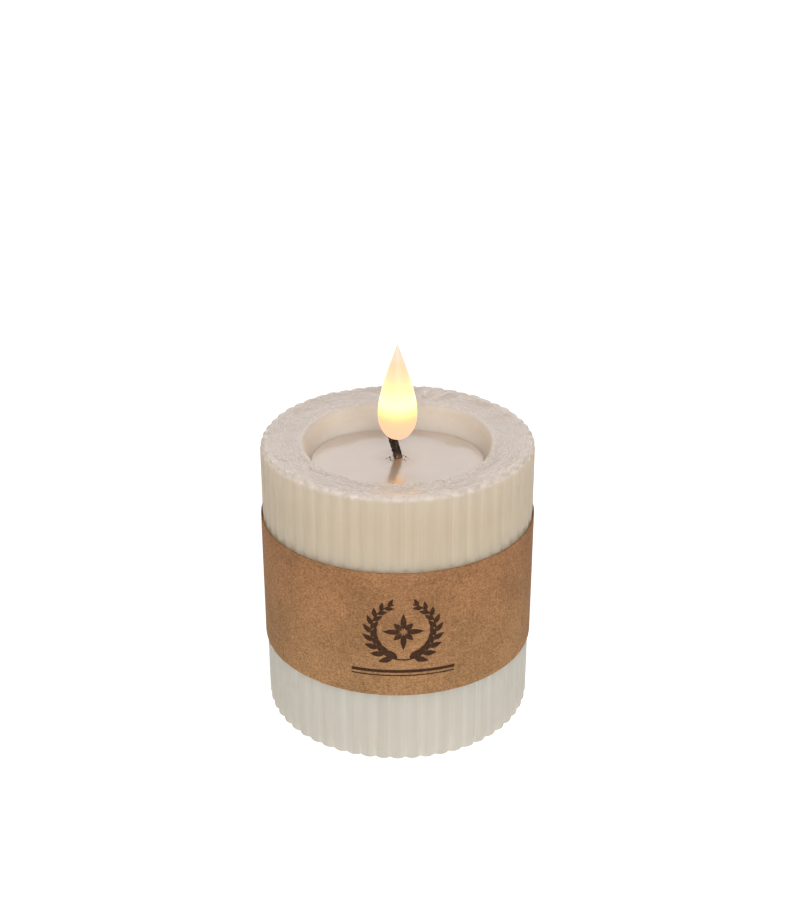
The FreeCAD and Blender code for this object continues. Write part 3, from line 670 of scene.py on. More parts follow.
# ---- the wick --------------------------------------------------------------------------------
def wick_finish(settings):
    """Charred cotton fibre with wax soaked into its foot and specks of ash."""
    finish, tree, shader = new_finish("Charred Cotton", Roughness=0.75, IOR=1.5, Specular_IOR_Level=0.35)
    here = object_place(tree)
    height = separate(tree, here)[2]
    char = tuple(settings.char_colour)
    fibre = cloud(tree, object_place(tree, (2600.0, 2600.0, 500.0)), 1.0, 3.0, 0.6)
    dark = tint(tree, smooth_step(tree, fibre, 0.4, 0.65), scaled(char, 0.5), scaled(char, 2.6))
    foot = minus(tree, 1.0, smooth_step(tree, height, 73.6 * MM, 76.6 * MM))
    waxy = times(tree, foot, smooth_step(tree, cloud(tree, here, 900.0, 2.0), 0.42, 0.6))
    base = tint(tree, times(tree, waxy, 0.85), dark, (0.40, 0.22, 0.10))
    ash = smooth_step(tree, cloud(tree, here, 1500.0, 2.0), 0.62, 0.7)
    base = tint(tree, times(tree, ash, 0.25), base, (0.30, 0.27, 0.24))
    tree.links.new(base, shader.inputs["Base Color"])
    tree.links.new(blend_number(tree, waxy, 0.8, 0.3), shader.inputs["Roughness"])
    emboss(tree, shader, fibre, 0.8, 0.0002)
    return finish


def twisted_wick_tree(finish):
    """Strands twisted together along the wick's line."""
    tree, given = new_growth(
        "Twisted Wick",
        [("Strands", "Int"), ("Turns", "Float"), ("Spread", "Float"), ("Strand Radius", "Float")],
    )
    line = place(tree, "GeometryNodeMeshToCurve", {0: given["Geometry"]}).outputs[0]
    line = place(tree, "GeometryNodeResampleCurve", {"Curve": line, "Count": 72}).outputs[0]
    copies = place(
        tree, "GeometryNodeDuplicateElements", {"Geometry": line, "Amount": given["Strands"]}, domain="SPLINE"
    )
    along = place(tree, "GeometryNodeSplineParameter").outputs["Factor"]
    start = ratio(tree, copies.outputs["Duplicate Index"], given["Strands"])
    turn = times(tree, plus(tree, times(tree, along, given["Turns"]), start), 2 * math.pi)
    here = place(tree, "GeometryNodeInputPosition").outputs[0]
    ragged = plus(tree, 0.75, times(tree, cloud(tree, here, 420.0, 2.0), 0.5))
    out = times(tree, given["Spread"], ragged)
    offset_x = times(tree, out, calc(tree, "COSINE", turn))
    offset_y = times(tree, out, calc(tree, "SINE", turn))
    offset = combine(tree, offset_x, offset_y)
    strands = place(
        tree, "GeometryNodeSetPosition", {"Geometry": copies.outputs["Geometry"], "Offset": offset}
    ).outputs[0]
    lumps = plus(tree, 0.7, times(tree, cloud(tree, here, 700.0, 2.0), 0.6))
    thick = times(tree, given["Strand Radius"], lumps)
    strands = place(tree, "GeometryNodeSetCurveRadius", {"Curve": strands, "Radius": 1.0}).outputs[0]
    round_section = place(
        tree, "GeometryNodeCurvePrimitiveCircle", {"Resolution": 12, "Radius": given["Strand Radius"]}
    ).outputs[0]
    skin = place(
        tree, "GeometryNodeCurveToMesh", {"Curve": strands, "Profile Curve": round_section, "Fill Caps": True}
    ).outputs[0]
    normal = place(tree, "GeometryNodeInputNormal").outputs[0]
    swell = minus(tree, thick, given["Strand Radius"])
    push = place(tree, "ShaderNodeVectorMath", {0: normal, "Scale": swell}, operation="SCALE").outputs[0]
    skin = place(tree, "GeometryNodeSetPosition", {"Geometry": skin, "Offset": push}).outputs[0]
    soft = place(tree, "GeometryNodeSetShadeSmooth", {"Geometry": skin}).outputs[0]
    end_growth(tree, soft, finish)
    return tree


def make_wick(context):
    """The leaning wick of twisted strands, and crumbs of char on the pool round its foot."""
    # each crumb is (x, y, radius) in millimetres
    crumbs_mm = [
        (-2.2, 0.5, 0.3), (2.3, 0.6, 0.27), (-1.9, -1.1, 0.2), (2.9, -0.4, 0.16), (1.7, 1.5, 0.22),
        (-3.0, -0.2, 0.15), (1.9, -1.2, 0.19), (-1.5, -1.7, 0.14), (2.2, -1.9, 0.13),
    ]
    settings = context.scene.candle_flame
    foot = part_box("wick")[0][2] / MM + 0.3
    line = [(0.25, foot), (0.25, 71.5), (0.22, 73.0), (-0.02, 74.6), (-0.5, 76.3), (-0.96, 78.0), (-1.52, 80.3)]
    mesh = bpy.data.meshes.new("wick_line")
    mesh.from_pydata([(x * MM, 0, z * MM) for x, z in line], [(i, i + 1) for i in range(len(line) - 1)], [])
    finish = wick_finish(settings)
    piece = grow(
        "twisted_wick", mesh, twisted_wick_tree(finish),
        {
            "Strands": settings.strand_count, "Turns": settings.strand_turns, "Spread": 0.54 * MM,
            "Strand Radius": 0.74 * MM,
        },
    )
    finish_piece(piece, "candle", "wick", "wick")
    dice = random.Random(7)
    points, faces = [], []
    for x, y, size in crumbs_mm:
        ball = bmesh.new()
        bmesh.ops.create_icosphere(ball, subdivisions=2, radius=size * MM)
        first = len(points)
        ball.verts.index_update()
        for vertex in ball.verts:
            co = vertex.co * (0.8 + 0.4 * dice.random())
            points.append((co.x + x * MM, co.y + y * MM, co.z * 0.6 + POOL_HIGH.z - 0.05 * MM))
        faces += [tuple(first + vertex.index for vertex in face.verts) for face in ball.faces]
        ball.free()
    crumbs = new_piece("wick_crumbs", mesh_from("wick_crumbs", points, faces), finish)
    finish_piece(crumbs, "candle", "wick")


# ---- the flame --------------------------------------------------------------------------------
def flame_finish(settings):
    """Translucent plastic, lit from inside: rosy foot, brightest low in the belly, paler towards the tip."""
    finish, tree, shader = new_finish(
        "Lit Flame", Roughness=0.38, IOR=1.45, Specular_IOR_Level=0.4, Emission_Strength=settings.glow
    )
    here = object_place(tree)
    height = separate(tree, here)[2]
    up = ratio(tree, minus(tree, height, FLAME_LOW.z), FLAME_HIGH.z - FLAME_LOW.z)
    glow = ramp(
        tree, up,
        [
            (0.0, (3.0, 1.3, 0.15)), (0.012, (1.8, 0.9, 0.3)),
            (0.025, (1.15, 0.62, 0.41)), (0.11, (1.2, 0.65, 0.40)),
            (0.18, (1.25, 0.66, 0.38)), (0.24, (1.3, 0.72, 0.35)),
            (0.30, (1.5, 0.95, 0.36)), (0.36, (1.9, 1.4, 0.57)),
            (0.41, (2.4, 1.6, 0.68)), (0.47, (2.3, 1.6, 0.60)),
            (0.53, (2.1, 1.35, 0.49)), (0.58, (1.9, 1.0, 0.43)),
            (0.63, (1.6, 0.85, 0.43)), (0.69, (1.3, 0.75, 0.43)),
            (0.79, (1.0, 0.67, 0.41)), (0.85, (0.88, 0.70, 0.50)),
            (1.0, (0.82, 0.74, 0.62)),
        ],
    )
    flicker = ramp(tree, cloud(tree, here, 160.0, 2.0), [(0.3, grey(0.965)), (0.7, grey(1.0))])
    tree.links.new(tint(tree, 1.0, glow, flicker, "MULTIPLY"), shader.inputs["Emission Color"])
    skin = ramp(tree, up, [(0.0, (0.10, 0.07, 0.05)), (0.3, (0.06, 0.055, 0.035)), (1.0, (0.12, 0.10, 0.08))])
    tree.links.new(skin, shader.inputs["Base Color"])
    emboss(tree, shader, cloud(tree, here, 420.0, 3.0), 0.08, 0.0002)
    return finish


def smooth_line(points, count):
    """Points along a smooth curve through the given ones."""
    ends = [2 * Vector(points[0]) - Vector(points[1])] + [Vector(p) for p in points]
    ends.append(2 * Vector(points[-1]) - Vector(points[-2]))
    line = []
    for i in range(count + 1):
        u = (len(points) - 1) * i / count
        k = min(int(u), len(points) - 2)
        t = u - k
        a, b, c, d = ends[k : k + 4]
        bend = (2 * a - 5 * b + 4 * c - d) * t**2 + (3 * b - a - 3 * c + d) * t**3
        line.append(0.5 * (2 * b + (c - a) * t + bend))
    return line


def make_flame(context):
    """The teardrop shell, turned round the axis, with a slight lean to its tip."""
    outline = [
        (0.02, 79.62), (1.4, 79.75), (2.55, 80.22), (3.66, 81.42),
        (4.56, 83.1), (5.1, 85.4), (5.18, 87.6), (4.86, 90.6),
        (4.26, 93.4), (3.54, 96.6), (2.66, 99.4), (1.68, 102.3), (0.76, 105.1), (0.02, 107.15),
    ]
    rows, turns = 90, 72
    points, faces = [], []
    for spot in smooth_line([(r, z, 0) for r, z in outline], rows):
        r, z = max(0.0, spot.x), spot.y
        for j in range(turns):
            turn = 2 * math.pi * j / turns
            flat = 1.0 - 0.03 * math.cos(2 * turn)
            points.append((r * flat * math.sin(turn) * MM, -r * math.cos(turn) * MM, z * MM))
    for i in range(rows):
        for j in range(turns):
            k = (j + 1) % turns
            faces.append((i * turns + j, i * turns + k, (i + 1) * turns + k, (i + 1) * turns + j))
    faces.append(tuple(reversed(range(turns))))
    faces.append(tuple(rows * turns + j for j in range(turns)))
    mesh = mesh_from("lit_flame", points, faces)
    face_outwards(mesh)
    piece = new_piece("lit_flame", mesh, flame_finish(context.scene.candle_flame))
    finish_piece(piece, "candle", "flame", "flame_lens")


# ---- the kraft sleeve ---------------------------------------------------------------------------
def kraft_finish(settings):
    """Brown paper with pulp clouds, fine grain, level and upright fibres and dark flecks, and painted light
    making it paler towards the bottom.
    """
    finish, tree, shader = new_finish("Kraft Paper", Roughness=0.85, IOR=1.45, Specular_IOR_Level=0.15)
    here = object_place(tree)
    kraft = tuple(settings.paper_colour)
    pulp = cloud(tree, here, 55.0, 4.0, 0.6)
    base = tint(tree, smooth_step(tree, pulp, 0.3, 0.7), scaled(kraft, 0.84), scaled(kraft, 1.12))
    # painted light: the paper is made paler towards the bottom of the sleeve, as if lit more from low in front
    low = smooth_step(tree, separate(tree, here)[2], SLEEVE_HIGH.z, SLEEVE_LOW.z)
    base = tint(tree, low, base, tint(tree, 1.0, base, (1.05, 1.16, 1.16), "MULTIPLY"))
    grain = cloud(tree, object_place(tree, (1500.0, 1500.0, 2100.0)), 1.0, 5.0, 0.8)
    fine = ramp(tree, grain, [(0.38, (0.54, 0.47, 0.42)), (0.5, (0.93, 0.92, 0.91)), (0.62, (1.38, 1.40, 1.44))])
    base = tint(tree, 0.8, base, fine, "MULTIPLY")
    level = cloud(tree, object_place(tree, (190.0, 190.0, 1500.0)), 1.0, 3.0, 0.65, 0.6)
    upright = cloud(tree, object_place(tree, (1400.0, 1400.0, 260.0)), 1.0, 3.0, 0.65, 0.6)
    pale = smooth_step(tree, calc(tree, "MAXIMUM", level, upright), 0.6, 0.74)
    base = tint(tree, times(tree, pale, 0.6), base, scaled(kraft, 1.6))
    dark = smooth_step(tree, calc(tree, "MINIMUM", level, upright), 0.4, 0.3)
    base = tint(tree, times(tree, dark, 0.5), base, scaled(kraft, 0.45))
    flecks = cells(tree, (260.0, 260.0, 340.0), 1.0)
    chance = smooth_step(tree, cloud(tree, here, 140.0, 1.0), 0.52, 0.6)
    spot = times(tree, minus(tree, 1.0, smooth_step(tree, flecks, 0.05, 0.12)), chance)
    base = tint(tree, times(tree, spot, 0.55), base, scaled(kraft, 0.3))
    tree.links.new(base, shader.inputs["Base Color"])
    height = plus(tree, times(tree, grain, 0.6), times(tree, pale, 0.5))
    emboss(tree, shader, height, 0.35, 0.00012)
    return finish


def make_sleeve(context):
    """One strip of paper wrapped round the ribs and glued over itself at the back."""
    settings = context.scene.candle_sleeve
    outer = SLEEVE_HIGH.x - 0.04 * MM
    ribs = context.scene.candle_wax.rib_count
    thickness = settings.thickness
    lap = settings.overlap
    begin = -lap / 2
    columns, rows = 620, 26
    layers = []
    for layer in (0, 1):
        points = []
        for i in range(columns + 1):
            s = begin + (2 * math.pi + lap) * i / columns
            over = min(1.0, max(0.0, (s - (2 * math.pi + begin - 0.22)) / 0.2))
            over = over * over * (3 - 2 * over)
            for k in range(rows + 1):
                z = SLEEVE_LOW.z + (SLEEVE_HIGH.z - SLEEVE_LOW.z) * k / rows
                edge = 1.0 if k in (0, rows) else 0.0
                z += edge * 0.06 * MM * noise.noise(Vector((math.cos(s), math.sin(s), k)) * 9.0)
                wrinkle = 0.035 * noise.noise(Vector((math.cos(s) * 3.1, math.sin(s) * 3.1, z / MM * 0.05)))
                rib_print = 0.012 * math.cos(ribs * s)
                r = outer + (wrinkle + rib_print - 0.04) * MM
                r += over * (thickness + 0.03 * MM) - layer * thickness
                r = min(r, outer + over * 0.34 * MM)
                points.append((r * -math.sin(s), r * math.cos(s), z))
        layers.append(points)
    points = layers[0] + layers[1]
    size = (columns + 1) * (rows + 1)

    def spot(layer, i, k):
        return layer * size + i * (rows + 1) + k

    faces = []
    for i in range(columns):
        for k in range(rows):
            faces.append((spot(0, i, k), spot(0, i, k + 1), spot(0, i + 1, k + 1), spot(0, i + 1, k)))
            faces.append((spot(1, i, k), spot(1, i + 1, k), spot(1, i + 1, k + 1), spot(1, i, k + 1)))
        faces.append((spot(0, i, 0), spot(0, i + 1, 0), spot(1, i + 1, 0), spot(1, i, 0)))
        faces.append((spot(0, i, rows), spot(1, i, rows), spot(1, i + 1, rows), spot(0, i + 1, rows)))
    for i in (0, columns):
        for k in range(rows):
            face = (spot(0, i, k), spot(1, i, k), spot(1, i, k + 1), spot(0, i, k + 1))
            faces.append(face if i == 0 else tuple(reversed(face)))
    mesh = mesh_from("kraft_sleeve", points, faces)
    face_outwards(mesh, 1e-9)
    sharpen_edges(mesh, 40)
    piece = new_piece("kraft_sleeve", mesh, kraft_finish(settings))
    finish_piece(piece, "sleeve", "kraft_paper", "paper_sleeve")


def sharpen_edges(mesh, degrees):
    """Mark every edge over an angle sharp, so that flat ends stay crisp."""
    work = bmesh.new()
    work.from_mesh(mesh)
    for edge in work.edges:
        edge.smooth = len(edge.link_faces) == 2 and edge.calc_face_angle(0.0) < math.radians(degrees)
    work.to_mesh(mesh)
    work.free()


# ---- the printed ornament -------------------------------------------------------------------------
def ink_finish(settings):
    """Brown ink, a little thinner over the paper's grain."""
    finish, tree, shader = new_finish("Brown Ink", Roughness=0.8, IOR=1.4, Specular_IOR_Level=0.15)
    here = object_place(tree)
    ink = tuple(settings.ink_colour)
    thin = smooth_step(tree, cloud(tree, here, 1300.0, 4.0, 0.7), 0.45, 0.75)
    base = tint(tree, thin, ink, scaled(ink, 2.2))
    tree.links.new(base, shader.inputs["Base Color"])
    emboss(tree, shader, cloud(tree, here, 1500.0, 3.0), 0.2, 0.0001)
    return finish


def strip(tree, columns, shape):
    """A flat strip of faces; shape turns its (0..1, -1..1) place into a position."""
    grid = place(
        tree, "GeometryNodeMeshGrid", {"Size X": 1.0, "Size Y": 2.0, "Vertices X": columns, "Vertices Y": 3}
    ).outputs[0]
    across = separate(tree, place(tree, "GeometryNodeInputPosition").outputs[0])
    along = plus(tree, across[0], 0.5)
    inputs = {"Geometry": grid, "Position": shape(along, across[1])}
    return place(tree, "GeometryNodeSetPosition", inputs).outputs[0]


def wreath_tree(finish):
    """A wreath of leaves round a star, over two rules, bent round the sleeve."""
    tree, given = new_growth(
        "Printed Wreath",
        [
            ("Wreath Radius", "Float"), ("Leaf Pairs", "Int"),
            ("Leaf Length", "Float"), ("Leaf Width", "Float"),
            ("Rule Length", "Float"), ("Sleeve Radius", "Float"),
            ("Centre Height", "Float"), ("Offset", "Float"),
        ],
    )
    ring, pairs = given["Wreath Radius"], given["Leaf Pairs"]

    def leaf_shape(along, side):
        belly = calc(tree, "SINE", times(tree, calc(tree, "POWER", along, 0.8), math.pi))
        return combine(
            tree, times(tree, along, given["Leaf Length"]),
            times(tree, times(tree, belly, side), times(tree, given["Leaf Width"], 0.5)),
        )

    leaf = strip(tree, 8, leaf_shape)

    # leaves: each point is one leaf, inside and outside by turns, up the right side then the left
    count = times(tree, pairs, 4.0)
    spots = place(tree, "GeometryNodePoints", {"Count": count}).outputs[0]
    index = place(tree, "GeometryNodeInputIndex").outputs[0]
    per_side = times(tree, pairs, 2.0)
    left = calc(tree, "GREATER_THAN", index, minus(tree, per_side, 0.5))
    step = minus(tree, index, times(tree, left, per_side))
    up = ratio(tree, step, per_side)
    outside = calc(tree, "MODULO", step, 2.0)
    hand = minus(tree, 1.0, times(tree, left, 2.0))
    bearing = plus(tree, -1.38, times(tree, up, 2.62))
    spot_x = times(tree, times(tree, ring, calc(tree, "COSINE", bearing)), hand)
    spot_y = times(tree, ring, calc(tree, "SINE", bearing))
    tilt = plus(tree, -0.62, times(tree, outside, 1.24))
    heading = minus(tree, plus(tree, bearing, math.pi / 2), tilt)
    mirrored = minus(tree, math.pi, heading)
    heading = blend_number(tree, left, heading, mirrored)
    size = minus(tree, 1.06, times(tree, up, 0.42))
    spots = place(
        tree, "GeometryNodeSetPosition", {"Geometry": spots, "Position": combine(tree, spot_x, spot_y)}
    ).outputs[0]
    leaves = place(
        tree, "GeometryNodeInstanceOnPoints",
        {
            "Points": spots, "Instance": leaf, "Rotation": combine(tree, 0.0, 0.0, heading),
            "Scale": combine(tree, size, size, 1.0),
        },
    ).outputs[0]

    def stem(side):
        def shape(along, across):
            angle = plus(tree, -1.62, times(tree, along, 2.9))
            r = plus(tree, ring, times(tree, across, 0.2 * MM))
            x = times(tree, times(tree, r, calc(tree, "COSINE", angle)), side)
            return combine(tree, x, times(tree, r, calc(tree, "SINE", angle)))

        return strip(tree, 40, shape)

    def rule(drop, width):
        def shape(along, across):
            x = times(tree, minus(tree, along, 0.5), given["Rule Length"])
            return combine(tree, x, plus(tree, times(tree, across, width / 2), -drop))

        return strip(tree, 48, shape)

    # star: eight rays, long and short by turns
    rays = place(tree, "GeometryNodePoints", {"Count": 8}).outputs[0]
    ray_index = place(tree, "GeometryNodeInputIndex").outputs[0]
    ray_turn = times(tree, ray_index, math.pi / 4)
    reach = minus(tree, 1.25, times(tree, calc(tree, "MODULO", ray_index, 2.0), 0.5))
    start_x = times(tree, calc(tree, "COSINE", ray_turn), 0.7 * MM)
    start_y = times(tree, calc(tree, "SINE", ray_turn), 0.7 * MM)
    rays = place(
        tree, "GeometryNodeSetPosition", {"Geometry": rays, "Position": combine(tree, start_x, start_y)}
    ).outputs[0]
    star = place(
        tree, "GeometryNodeInstanceOnPoints",
        {
            "Points": rays, "Instance": leaf, "Rotation": combine(tree, 0.0, 0.0, ray_turn),
            "Scale": combine(tree, reach, 0.95, 1.0),
        },
    ).outputs[0]

    flat = place(tree, "GeometryNodeJoinGeometry")
    for part in (leaves, star, stem(1.0), stem(-1.0), rule(12.2 * MM, 0.9 * MM), rule(13.5 * MM, 0.36 * MM)):
        tree.links.new(part, flat.inputs[0])
    real = place(tree, "GeometryNodeRealizeInstances", {0: flat.outputs[0]}).outputs[0]
    spot = separate(tree, place(tree, "GeometryNodeInputPosition").outputs[0])
    angle = ratio(tree, plus(tree, spot[0], given["Offset"]), given["Sleeve Radius"])
    bent = combine(
        tree, times(tree, given["Sleeve Radius"], calc(tree, "SINE", angle)),
        times(tree, times(tree, given["Sleeve Radius"], calc(tree, "COSINE", angle)), -1.0),
        plus(tree, spot[1], given["Centre Height"]),
    )
    wrapped = place(tree, "GeometryNodeSetPosition", {"Geometry": real, "Position": bent}).outputs[0]
    end_growth(tree, wrapped, finish)
    return tree


def make_print(context):
    """The wreath, star and rules as a thin raised film of ink on the sleeve."""
    settings = context.scene.candle_sleeve
    start = bpy.data.meshes.new("print_start")
    piece = grow(
        "wreath_print", start, wreath_tree(ink_finish(settings)),
        {
            "Wreath Radius": settings.wreath_radius, "Leaf Pairs": settings.leaf_pairs, "Leaf Length": 3.9 * MM,
            "Leaf Width": 1.7 * MM, "Rule Length": 28 * MM, "Sleeve Radius": SLEEVE_HIGH.x - PRINT_THICKNESS,
            "Centre Height": 41.2 * MM, "Offset": settings.print_offset,
        },
        wall=PRINT_THICKNESS,
    )
    finish_piece(piece, "sleeve", "kraft_paper")


# ---- finishes for the machined and moulded pieces ----------------------------------------------------
def moulded_finish(name, colour, roughness, grain=900.0, depth=0.00005, speckle=0.06):
    """Moulded plastic with a fine spark texture, faint flow marks and handling dirt."""
    finish, tree, shader = new_finish(name, Roughness=roughness, IOR=1.49, Specular_IOR_Level=0.5)
    here = object_place(tree)
    flow = cloud(tree, here, 42.0, 3.0, 0.5, 0.8)
    base = tint(tree, smooth_step(tree, flow, 0.3, 0.7), scaled(colour, 0.94), scaled(colour, 1.03))
    dirt = smooth_step(tree, cloud(tree, here, 260.0, 4.0, 0.65), 0.6, 0.8)
    base = tint(tree, times(tree, dirt, speckle), base, scaled(colour, 0.4))
    tree.links.new(base, shader.inputs["Base Color"])
    texture = cloud(tree, here, grain, 3.0, 0.6)
    rough = plus(tree, roughness - 0.06, times(tree, texture, 0.12))
    tree.links.new(rough, shader.inputs["Roughness"])
    emboss(tree, shader, texture, 0.3, depth)
    return finish


def metal_finish(name, colour, roughness, lines=(1.0, 1.0, 1.0), tarnish=(0.30, 0.26, 0.2)):
    """Bare metal with fine drawn lines and a little tarnish."""
    finish, tree, shader = new_finish(name, Metallic=1.0, Roughness=roughness)
    here = object_place(tree)
    drawn = cloud(tree, object_place(tree, tuple(1200.0 * value for value in lines)), 1.0, 3.0, 0.6)
    base = tint(tree, smooth_step(tree, drawn, 0.35, 0.65), scaled(colour, 0.9), colour)
    stain = smooth_step(tree, cloud(tree, here, 300.0, 4.0, 0.6), 0.58, 0.75)
    base = tint(tree, times(tree, stain, 0.35), base, tarnish)
    tree.links.new(base, shader.inputs["Base Color"])
    rough = plus(tree, roughness - 0.05, times(tree, drawn, 0.14))
    tree.links.new(rough, shader.inputs["Roughness"])
    emboss(tree, shader, drawn, 0.25, 0.00004)
    return finish


def cell_finish(name, plus_end):
    """A cell's printed jacket: a dark body, a pale band near the button, bare steel at both ends."""
    finish, tree, shader = new_finish(name, Roughness=0.34, Coat_Weight=0.35, Coat_Roughness=0.15)
    here = object_place(tree)
    parts = separate(tree, here)
    along = times(tree, parts[0], float(plus_end))

    def between(start, full, fade, end):
        rising = smooth_step(tree, along, start * MM, full * MM)
        return times(tree, rising, minus(tree, 1.0, smooth_step(tree, along, fade * MM, end * MM)))

    jacket = between(-23.1, -22.9, 24.8, 24.95)
    band = between(10.0, 10.1, 22.0, 22.1)
    wear = cloud(tree, here, 190.0, 4.0, 0.6)
    colour = tint(tree, band, (0.035, 0.06, 0.095), (0.62, 0.64, 0.63))
    colour = tint(tree, times(tree, smooth_step(tree, wear, 0.6, 0.8), 0.3), colour, (0.25, 0.26, 0.27))
    tree.links.new(tint(tree, jacket, (0.66, 0.66, 0.64), colour), shader.inputs["Base Color"])
    tree.links.new(minus(tree, 1.0, times(tree, jacket, 0.85)), shader.inputs["Metallic"])
    emboss(tree, shader, cloud(tree, here, 700.0, 2.0), 0.1, 0.00005)
    return finish


def board_finish():
    """Green lacquer over faint copper tracks, with bare pads here and there."""
    finish, tree, shader = new_finish("Circuit Board", Roughness=0.32, Coat_Weight=0.4, Coat_Roughness=0.2)
    here = object_place(tree)
    tracks = place(
        tree, "ShaderNodeTexBrick",
        {
            "Vector": here, "Scale": 420.0, "Mortar Size": 0.04, "Color1": (*grey(0.0), 1),
            "Color2": (*grey(0.25), 1), "Mortar": (*grey(1.0), 1),
        },
    ).outputs[0]
    base = tint(tree, tracks, (0.012, 0.12, 0.045), (0.03, 0.22, 0.075))
    pads = cells(tree, (390.0, 390.0, 10.0), 0.35)
    pad = minus(tree, 1.0, smooth_step(tree, pads, 0.14, 0.18))
    base = tint(tree, times(tree, pad, 0.7), base, (0.72, 0.70, 0.66))
    tree.links.new(base, shader.inputs["Base Color"])
    emboss(tree, shader, tracks, 0.2, 0.00004)
    return finish


def wire_finish(name, colour):
    """Soft wire insulation, slightly uneven."""
    finish, tree, shader = new_finish(name, Roughness=0.42, IOR=1.5)
    here = object_place(tree)
    shade = cloud(tree, here, 500.0, 3.0)
    base = tint(tree, smooth_step(tree, shade, 0.35, 0.7), scaled(colour, 0.75), colour)
    tree.links.new(base, shader.inputs["Base Color"])
    emboss(tree, shader, shade, 0.15, 0.00004)
    return finish


def led_finish():
    """A lit warm diode, brighter towards its dome."""
    finish, tree, shader = new_finish(
        "Lit Diode", Roughness=0.2, IOR=1.5, Emission_Strength=1.5, Transmission_Weight=0.3
    )
    here = object_place(tree)
    up = smooth_step(tree, separate(tree, here)[2], 84 * MM, 88.6 * MM)
    tree.links.new(tint(tree, up, (0.9, 0.5, 0.2), (1.0, 0.85, 0.5)), shader.inputs["Emission Color"])
    resin = tint(tree, cloud(tree, here, 600.0), (0.8, 0.72, 0.5), (0.95, 0.9, 0.75))
    tree.links.new(resin, shader.inputs["Base Color"])
    return finish


def dress(node, finish):
    """Give a carried-over piece its finish."""
    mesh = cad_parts[node].data
    if not mesh.materials:
        mesh.materials.append(finish)
    for i in range(len(mesh.materials)):
        mesh.materials[i] = finish


def make_base_finishes():
    """Plastics, board, switch and screws of the battery base."""
    shell = (0.80, 0.775, 0.72)
    base_white = moulded_finish("Ivory Base Plastic", shell, 0.46)
    door_white = moulded_finish("Ivory Door Plastic", scaled(shell, 1.02), 0.42, grain=1100.0)
    inner_white = moulded_finish("Inner White Plastic", (0.76, 0.76, 0.74), 0.5)
    dress("base_plate", base_white)
    dress("battery_door", door_white)
    for node in ("upper_housing", "stem_tube"):
        dress(node, inner_white)
    dress("switch_slider", moulded_finish("Black Knob Plastic", (0.022, 0.022, 0.024), 0.4, grain=1300.0))
    dress("splice_sleeves", moulded_finish("Shrink Sleeve", (0.02, 0.02, 0.021), 0.5))
    screw = metal_finish("Zinc Screw Steel", (0.62, 0.61, 0.58), 0.34)
    for node in ("housing_screws", "board_screws"):
        dress(node, screw)
    dress("led_leads", metal_finish("Tinned Lead", (0.66, 0.66, 0.65), 0.3, (1.0, 1.0, 0.1)))
    dress("switch_case", metal_finish("Drawn Switch Steel", (0.63, 0.63, 0.6), 0.32, (0.1, 1.0, 1.0)))
    dress("crystal", metal_finish("Crystal Can", (0.7, 0.7, 0.68), 0.24, (0.1, 1.0, 1.0)))
    dress("timer_board", board_finish())
    dress("timer_chip", moulded_finish("Chip Resin", (0.018, 0.018, 0.02), 0.55, grain=1500.0))
    dress("resistors", moulded_finish("Chip Resistor", (0.03, 0.03, 0.032), 0.45, grain=1500.0))
    dress("capacitor", moulded_finish("Capacitor Sleeve", (0.03, 0.04, 0.11), 0.3))


def make_power_finishes():
    """Cells, springs, wires and the diode."""
    dress("battery_rear", cell_finish("Cell Jacket Rear", 1))
    dress("battery_front", cell_finish("Cell Jacket Front", -1))
    spring = metal_finish("Nickel Spring Steel", (0.72, 0.70, 0.66), 0.22, (1.0, 0.1, 1.0))
    for node in ("contact_bridge", "contact_negative", "contact_positive"):
        dress(node, spring)
    red = wire_finish("Red Wire Skin", (0.45, 0.02, 0.015))
    black = wire_finish("Black Wire Skin", (0.02, 0.02, 0.022))
    dress("lead_wire_red", red)
    dress("battery_wire_red", red)
    dress("lead_wire_black", black)
    dress("battery_wire_black", black)
    dress("flame_led", led_finish())


# ---- the stage -----------------------------------------------------------------------------------------
def floor_finish():
    """White paper, kept bright by a little light of its own."""
    finish, tree, shader = new_finish(
        "White Paper Floor", Roughness=0.9, Specular_IOR_Level=0.1, Emission_Strength=0.6
    )
    here = object_place(tree)
    shade = ramp(tree, cloud(tree, here, 6.0, 2.0), [(0.3, grey(0.9)), (0.7, grey(0.92))])
    tree.links.new(shade, shader.inputs["Base Color"])
    shader.inputs["Emission Color"].default_value = (1, 1, 1, 1)
    return finish


def add_soft_light(name, spot, aim, size, watts):
    light = bpy.data.lights.new(name, "AREA")
    light.shape, light.size, light.size_y = "RECTANGLE", size[0], size[1]
    light.energy = watts
    lamp = bpy.data.objects.new(name, light)
    lamp.location = spot
    lamp.rotation_euler = (Vector(aim) - Vector(spot)).to_track_quat("-Z", "Y").to_euler()
    bpy.context.scene.collection.objects.link(lamp)


